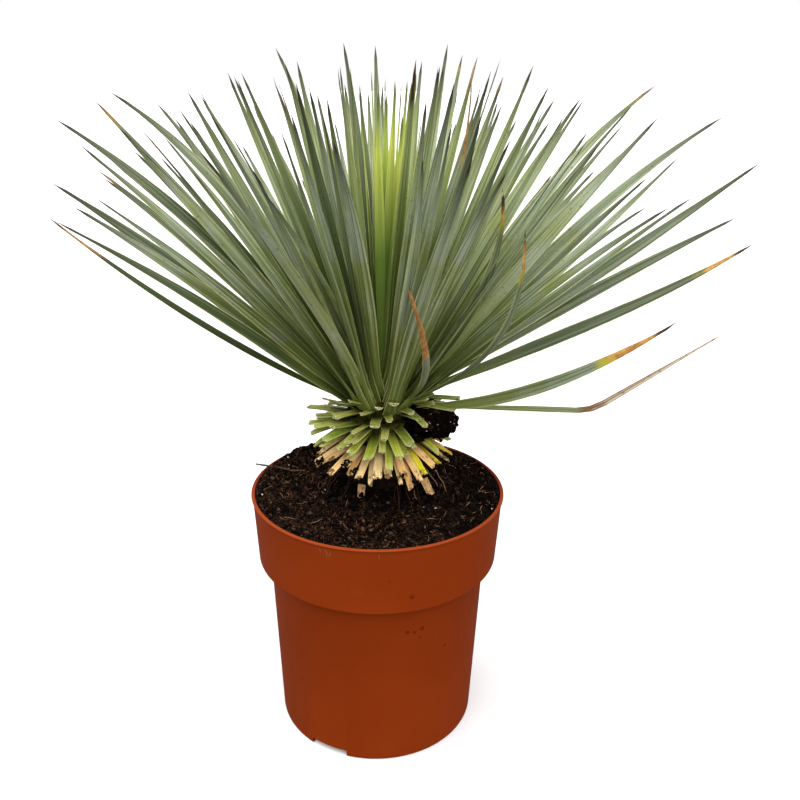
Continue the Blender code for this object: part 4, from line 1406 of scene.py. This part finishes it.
def soil_detail(x, y):
    """The soil's surface as it is heaped by the trunk and the wall, with lumps and crumbs."""
    far, near = math.hypot(x, y), math.hypot(x - AXIS_X, y - AXIS_Y)
    turn = turn_from(math.atan2(y, x), SOIL_BANK_AZIMUTH)
    bank = SOIL_EDGE_RISE + SOIL_BANK * math.exp(-((turn / SOIL_BANK_SPREAD) ** 2))
    rise = clamped((far - SOIL_EDGE_START) / (SOIL_RADIUS - SOIL_EDGE_START))
    heap = max(0.0, 1 - max(0.0, near - TRUNK_RADIUS) / (SOIL_HEAP_RADIUS - TRUNK_RADIUS))
    uneven = 0.0
    for size, plane, fineness in SOIL_LUMPS:
        uneven += size * noise.noise(Vector((x, y, plane)) * fineness)
    return soil_height(x, y) + bank * rise + SOIL_HEAP * heap**1.5 + uneven


def on_soil(x, y, lift):
    """A place a little over the soil."""
    return x, y, soil_detail(x, y) + lift


def build_soil():
    """The bed of soil: a fine top, with plain sides and floor inside the pot."""
    side = pot_inner_radius(SOIL_EDGE) - GAP
    foot = CHANNEL_HEIGHT + POT_WALL + 2 * GAP
    profile = [(0.0, SOIL_EDGE)]
    profile += [(side * (i / SOIL_RINGS) ** 0.8, SOIL_EDGE) for i in range(1, SOIL_RINGS + 1)]
    for height in (COLLAR_BOTTOM + POT_WALL, BODY_TOP, foot):
        profile.append((pot_inner_radius(height) - GAP, height))
    profile.append((0.0, foot))
    mesh = turned_mesh(profile, SOIL_STEPS)
    for vertex in mesh.vertices:
        if vertex.co.z > SOIL_EDGE - GAP:
            vertex.co.z = soil_detail(vertex.co.x, vertex.co.y)
    mesh = smoothed(mesh, SOIL_CREASE)
    add_piece("soil_bed", mesh, soil_material("peat_soil"), "soil", "soil")


def lump_template(subdivisions):
    bm = bmesh.new()
    bmesh.ops.create_icosphere(bm, subdivisions=subdivisions, radius=1.0)
    points = np.array([vertex.co for vertex in bm.verts])
    faces = [tuple(vertex.index for vertex in face.verts) for face in bm.faces]
    bm.free()
    return points, faces


def drawn_size(rng, least, spread, power):
    """A size by chance, more often a small one the higher the power."""
    return least + spread * rng.random() ** power


def add_lump(pile, template, centre, size, rng, **values):
    """One uneven grain or crumb."""
    points, faces = template
    offset = Vector((rng.uniform(0, 90), rng.uniform(0, 90), rng.uniform(0, 90)))
    swell = [1 + 0.5 * noise.noise(Vector(point) * 1.3 + offset) for point in points]
    angle = rng.uniform(0, math.tau)
    turn = Matrix.Rotation(angle, 3, direction(rng.uniform(0, 6.3), rng.uniform(-1, 1)))
    stretch = [rng.uniform(0.7, 1.3), rng.uniform(0.7, 1.3), rng.uniform(0.6, 1.0)]
    made = points * np.array(swell)[:, None] * np.array(stretch) * size
    made = made @ np.array(turn).T + np.array(centre)
    pile.add(made, faces, **values)


def soil_place(rng, inner=SOIL_INNER_EDGE):
    """A random place on the soil between the trunk and the wall."""
    while True:
        x, y = (rng.uniform(-SOIL_OUTER_EDGE, SOIL_OUTER_EDGE) for _ in range(2))
        far = math.hypot(x, y) < SOIL_OUTER_EDGE
        if far and math.hypot(x - AXIS_X, y - AXIS_Y) > inner:
            return x, y


def add_crumbs(rng):
    """Crumbs of peat all over the soil, and larger ones on the heap at the trunk."""
    small, fine, pile = lump_template(1), lump_template(2), Pile()
    for _ in range(CRUMB_COUNT):
        x, y = soil_place(rng)
        size = drawn_size(rng, *CRUMB_SIZE)
        spot = on_soil(x, y, size * CRUMB_LIFT)
        add_lump(pile, small, spot, size, rng, tone=0.97 * rng.random())
    for _ in range(HEAP_CRUMB_COUNT):
        angle, reach = rng.uniform(0, math.tau), rng.uniform(TRUNK_RADIUS, SOIL_HEAP_RADIUS)
        x, y = AXIS_X + reach * math.cos(angle), AXIS_Y + reach * math.sin(angle)
        size = rng.uniform(*HEAP_CRUMB_SIZES)
        spot = on_soil(x, y, size * CRUMB_LIFT)
        add_lump(pile, fine, spot, size, rng, tone=0.8 * rng.random())
    # The soil's crumbs get the same painted shade as the soil
    material = crumb_material("soil_crumb", True)
    add_piece("soil_crumbs", pile.mesh(CRUMB_CREASE), material, "soil")


def add_perlite(rng):
    """White grains, one of them large."""
    pile, template = Pile(), lump_template(2)
    for _ in range(PERLITE_COUNT):
        x, y = soil_place(rng, SOIL_HEAP_RADIUS)
        size = drawn_size(rng, *PERLITE_SIZE)
        add_lump(pile, template, on_soil(x, y, size * PERLITE_LIFT), size, rng)
    add_lump(pile, template, on_soil(*BIG_PERLITE, 0.001), BIG_PERLITE_SIZE, rng)
    add_piece("perlite", pile.mesh(CRUMB_CREASE), rough_material("perlite_grain"), "soil")


def add_fibres(rng):
    """Fibres on the soil, and a few that stick to the pot."""
    pile = Pile()
    for _ in range(FIBRE_COUNT):
        x, y = soil_place(rng)
        length = rng.uniform(*FIBRE_LENGTHS)
        start = on_soil(x, y, FIBRE_START_LIFT)
        route = wandering(start, rng.uniform(0, math.tau), length, rng)
        radius = rng.uniform(*FIBRE_RADII)
        add_tube(pile, route, radius, FIBRE_SIDES, tone=rng.random() ** 2)
    for azimuth, height, length in POT_FIBRES:
        route = []
        for i in range(FIBRE_STEPS + 1):
            turn = math.radians(azimuth) + 0.008 * math.sin(0.7 * i + azimuth)
            point = pot_side(turn, height - length * i / FIBRE_STEPS)
            route.append(point + direction(turn, 0.0) * POT_FIBRE_LIFT)
        add_tube(pile, route, POT_FIBRE_RADIUS, FIBRE_SIDES, tone=1.0)
    add_piece("peat_fibres", pile.mesh(), fibre_material(), "soil")


def build_soil_litter():
    """Crumbs, perlite and fibres."""
    rng = random.Random(LITTER_SEED)
    add_crumbs(rng)
    add_perlite(rng)
    add_fibres(rng)


def wandering(start, heading, length, rng):
    """A short line that wanders over the soil."""
    route = [Vector(start)]
    for _ in range(FIBRE_STEPS):
        heading += rng.uniform(-0.5, 0.5)
        last = route[-1]
        x = last.x + math.cos(heading) * length / FIBRE_STEPS
        y = last.y + math.sin(heading) * length / FIBRE_STEPS
        if math.hypot(x, y) > SOIL_OUTER_EDGE:
            heading += math.pi / 2
            x, y = last.x * 0.99, last.y * 0.99
        route.append(Vector(on_soil(x, y, rng.uniform(*FIBRE_LIFTS))))
    return route


def add_tube(pile, route, radius, sides, **values):
    """A thin tube along a line of points, with pointed ends."""
    places = []
    for i, point in enumerate(route):
        ahead = route[min(i + 1, len(route) - 1)] - route[max(i - 1, 0)]
        heading = ahead.normalized()
        side = heading.cross(Vector((0, 0, 1)))
        side = side.normalized() if side.length > 1e-6 else Vector((1, 0, 0))
        up = heading.cross(side)
        thick = radius * (0.35 if i in (0, len(route) - 1) else 1.0)
        for j in range(sides):
            x, y = math.cos(math.tau * j / sides), math.sin(math.tau * j / sides)
            places.append(point + side * (thick * x) + up * (thick * y))
    pile.add(places, ring_faces(len(route), sides, False), **values)


# Clod, roots, twig and scraps


def clod_lumps(place):
    """How far the clod's surface stands out at a place."""
    lumps = noise.noise(place * 120) * 0.0046 + noise.noise(place * 330) * 0.0030
    return lumps - 0.0008


def build_clod():
    """The clod of peat on the stubs, in the place of its solid, with loose crumbs on it."""
    rng = random.Random(CLOD_SEED)
    low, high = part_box("peat_clod")
    centre, half = (low + high) / 2, (high - low) / 2
    body = refined("peat_clod", clod_lumps)
    add_piece("clod_body", body, soil_material("peat_clod", 0.15), "clod", "peat_clod")
    pile, template = Pile(), lump_template(2)

    def near_surface(reach):
        aim = direction(rng.uniform(0, math.tau), rng.uniform(-1.3, 1.3))
        return centre + Vector((aim.x * half.x, aim.y * half.y, aim.z * half.z)) * reach

    for _ in range(CLOD_CRUMBS):
        spot = near_surface(0.88)
        size = drawn_size(rng, *CLOD_CRUMB_SIZE)
        add_lump(pile, template, spot, size, rng, tone=0.8 * rng.random())
    for _ in range(CLOD_PALE_CRUMBS):
        spot = near_surface(0.97)
        add_lump(pile, template, spot, rng.uniform(*PALE_CRUMB_SIZES), rng, tone=1.3)
    for _ in range(CLOD_FOOT_CRUMBS):
        azimuth = CLOD_AZIMUTH + rng.uniform(-0.55, 0.75)
        reach, height = rng.uniform(*CLOD_FOOT_REACHES), rng.uniform(*CLOD_FOOT_HEIGHTS)
        spot = axis_point(height) + direction(azimuth, 0.0) * reach
        size = rng.uniform(*CLOD_FOOT_SIZES)
        add_lump(pile, template, spot, size, rng, tone=0.6 * rng.random())
    add_piece("clod_crumbs", pile.mesh(CRUMB_CREASE), crumb_material(), "clod")


def build_roots():
    """A few thin roots from under the stubs to the soil, two of them pale."""
    rng = random.Random(ROOT_SEED)
    pile = Pile()
    for i in range(ROOT_COUNT):
        angle = rng.uniform(0, math.tau)
        start = axis_point(rng.uniform(*ROOT_HEIGHTS)) + direction(angle, 0.0) * ROOT_START
        end = start + direction(angle + rng.uniform(-0.3, 0.3), 0.0) * rng.uniform(0.010, 0.030)
        end.z = soil_detail(end.x, end.y)
        route = []
        for step in range(ROOT_STEPS + 1):
            share = step / ROOT_STEPS
            point = start.lerp(end, share)
            point += direction(angle, 0.0) * (0.005 * math.sin(math.pi * share))
            wobble = 0.0012 * math.sin(math.pi * share)
            point += Vector([rng.uniform(-wobble, wobble) for _ in range(3)])
            route.append(point)
        tone = 0.2 if i % (ROOT_COUNT // 2) else 0.9
        add_tube(pile, route, rng.uniform(0.0002, 0.0005), 6, tone=tone)
    add_piece("fine_roots", pile.mesh(), fibre_material(), "dry_stub")


def build_scraps():
    """Loose scraps of dry leaf between the trunk and the soil."""
    rng = random.Random(SCRAP_SEED)
    pile = Pile()
    for azimuth, radius, level, slope, length, width in SCRAPS:
        place = {"level": level, "radius": radius, "twist": rng.uniform(-0.3, 0.3)}
        add_stub(pile, placed_stub(azimuth, slope, length=length, width=width, **place), rng)
    add_piece("leaf_scraps", pile.mesh(STUB_CREASE), scrap_material(), "dry_stub")


def twig_lumps(place):
    """How far the twig's bark stands out at a place."""
    return 0.00035 * noise.noise(place * 400)


def build_twig():
    """The dry twig on the soil, along its solid's place."""
    mesh = refined("twig", twig_lumps)
    add_piece("twig_stick", mesh, rough_material("twig_bark"), "twig", "twig")


# Camera, light and floor


def build_camera():
    camera = bpy.data.cameras.new("camera")
    camera.lens = CAMERA_LENS
    camera.sensor_width = CAMERA_SENSOR
    thing = new_object("camera", camera)
    tilt = Matrix.Rotation(math.pi / 2 + CAMERA_PITCH, 4, "X")
    roll = Matrix.Rotation(CAMERA_ROLL, 4, "Z")
    thing.matrix_world = Matrix.Translation(CAMERA_PLACE) @ tilt @ roll
    bpy.context.scene.camera = thing


def add_sun(name, azimuth, elevation, power, softness):
    """A wide, soft light from far away."""
    light = bpy.data.lights.new(name, "SUN")
    light.energy = power
    light.angle = math.radians(softness)
    thing = new_object(name, light)
    aim = -direction(math.radians(azimuth), math.radians(elevation))
    thing.rotation_mode = "QUATERNION"
    thing.rotation_quaternion = aim.to_track_quat("-Z", "Y")


def build_world():
    """White where the camera looks, and for the light a sky that is brightest overhead."""
    n = Nodes("studio", "worlds")
    bpy.context.scene.world = n.owner
    sky, seen, both = n.tree.nodes["Background"], n.new("Background"), n.new("MixShader")
    height = n.place("Z", n.new("TexCoord").outputs["Generated"])
    white = (255, 255, 255)
    for socket, value in (
        (sky.inputs["Color"], white),
        (seen.inputs["Color"], white),
        (sky.inputs["Strength"], n.span(height, 0.0, 1.0, SKY_LOW, SKY_HIGH)),
        (both.inputs[0], n.new("LightPath").outputs["Is Camera Ray"]),
        (both.inputs[1], sky.outputs[0]),
        (both.inputs[2], seen.outputs[0]),
        (n.tree.nodes["World Output"].inputs["Surface"], both.outputs[0]),
    ):
        n.put(socket, value)


def build_studio():
    """A plain pale floor under soft light from above and a little from the left."""
    build_world()
    for sun in SUNS:
        add_sun(*sun)
    mesh = bpy.data.meshes.new("floor")
    corners = [(-1, -1), (1, -1), (1, 1), (-1, 1)]
    points = [(x * FLOOR_REACH, y * FLOOR_REACH, 0) for x, y in corners]
    mesh.from_pydata(points, [], [(0, 1, 2, 3)])
    floor = new_object("floor", mesh)
    n = Nodes("floor_paint")
    seen = n.new("LightPath").outputs["Is Camera Ray"]
    shade = n.span(seen, 0.0, 1.0, FLOOR_BOUNCE, FLOOR_SEEN)
    mesh.materials.append(n.finish(shade, 0.9, None, 0.0))
    bpy.context.scene.view_settings.view_transform = "Standard"


build_camera()
build_studio()
build_pot()
build_soil()
build_soil_litter()
build_stubs()
build_crown()
build_young()
build_clod()
build_roots()
build_scraps()
build_twig()

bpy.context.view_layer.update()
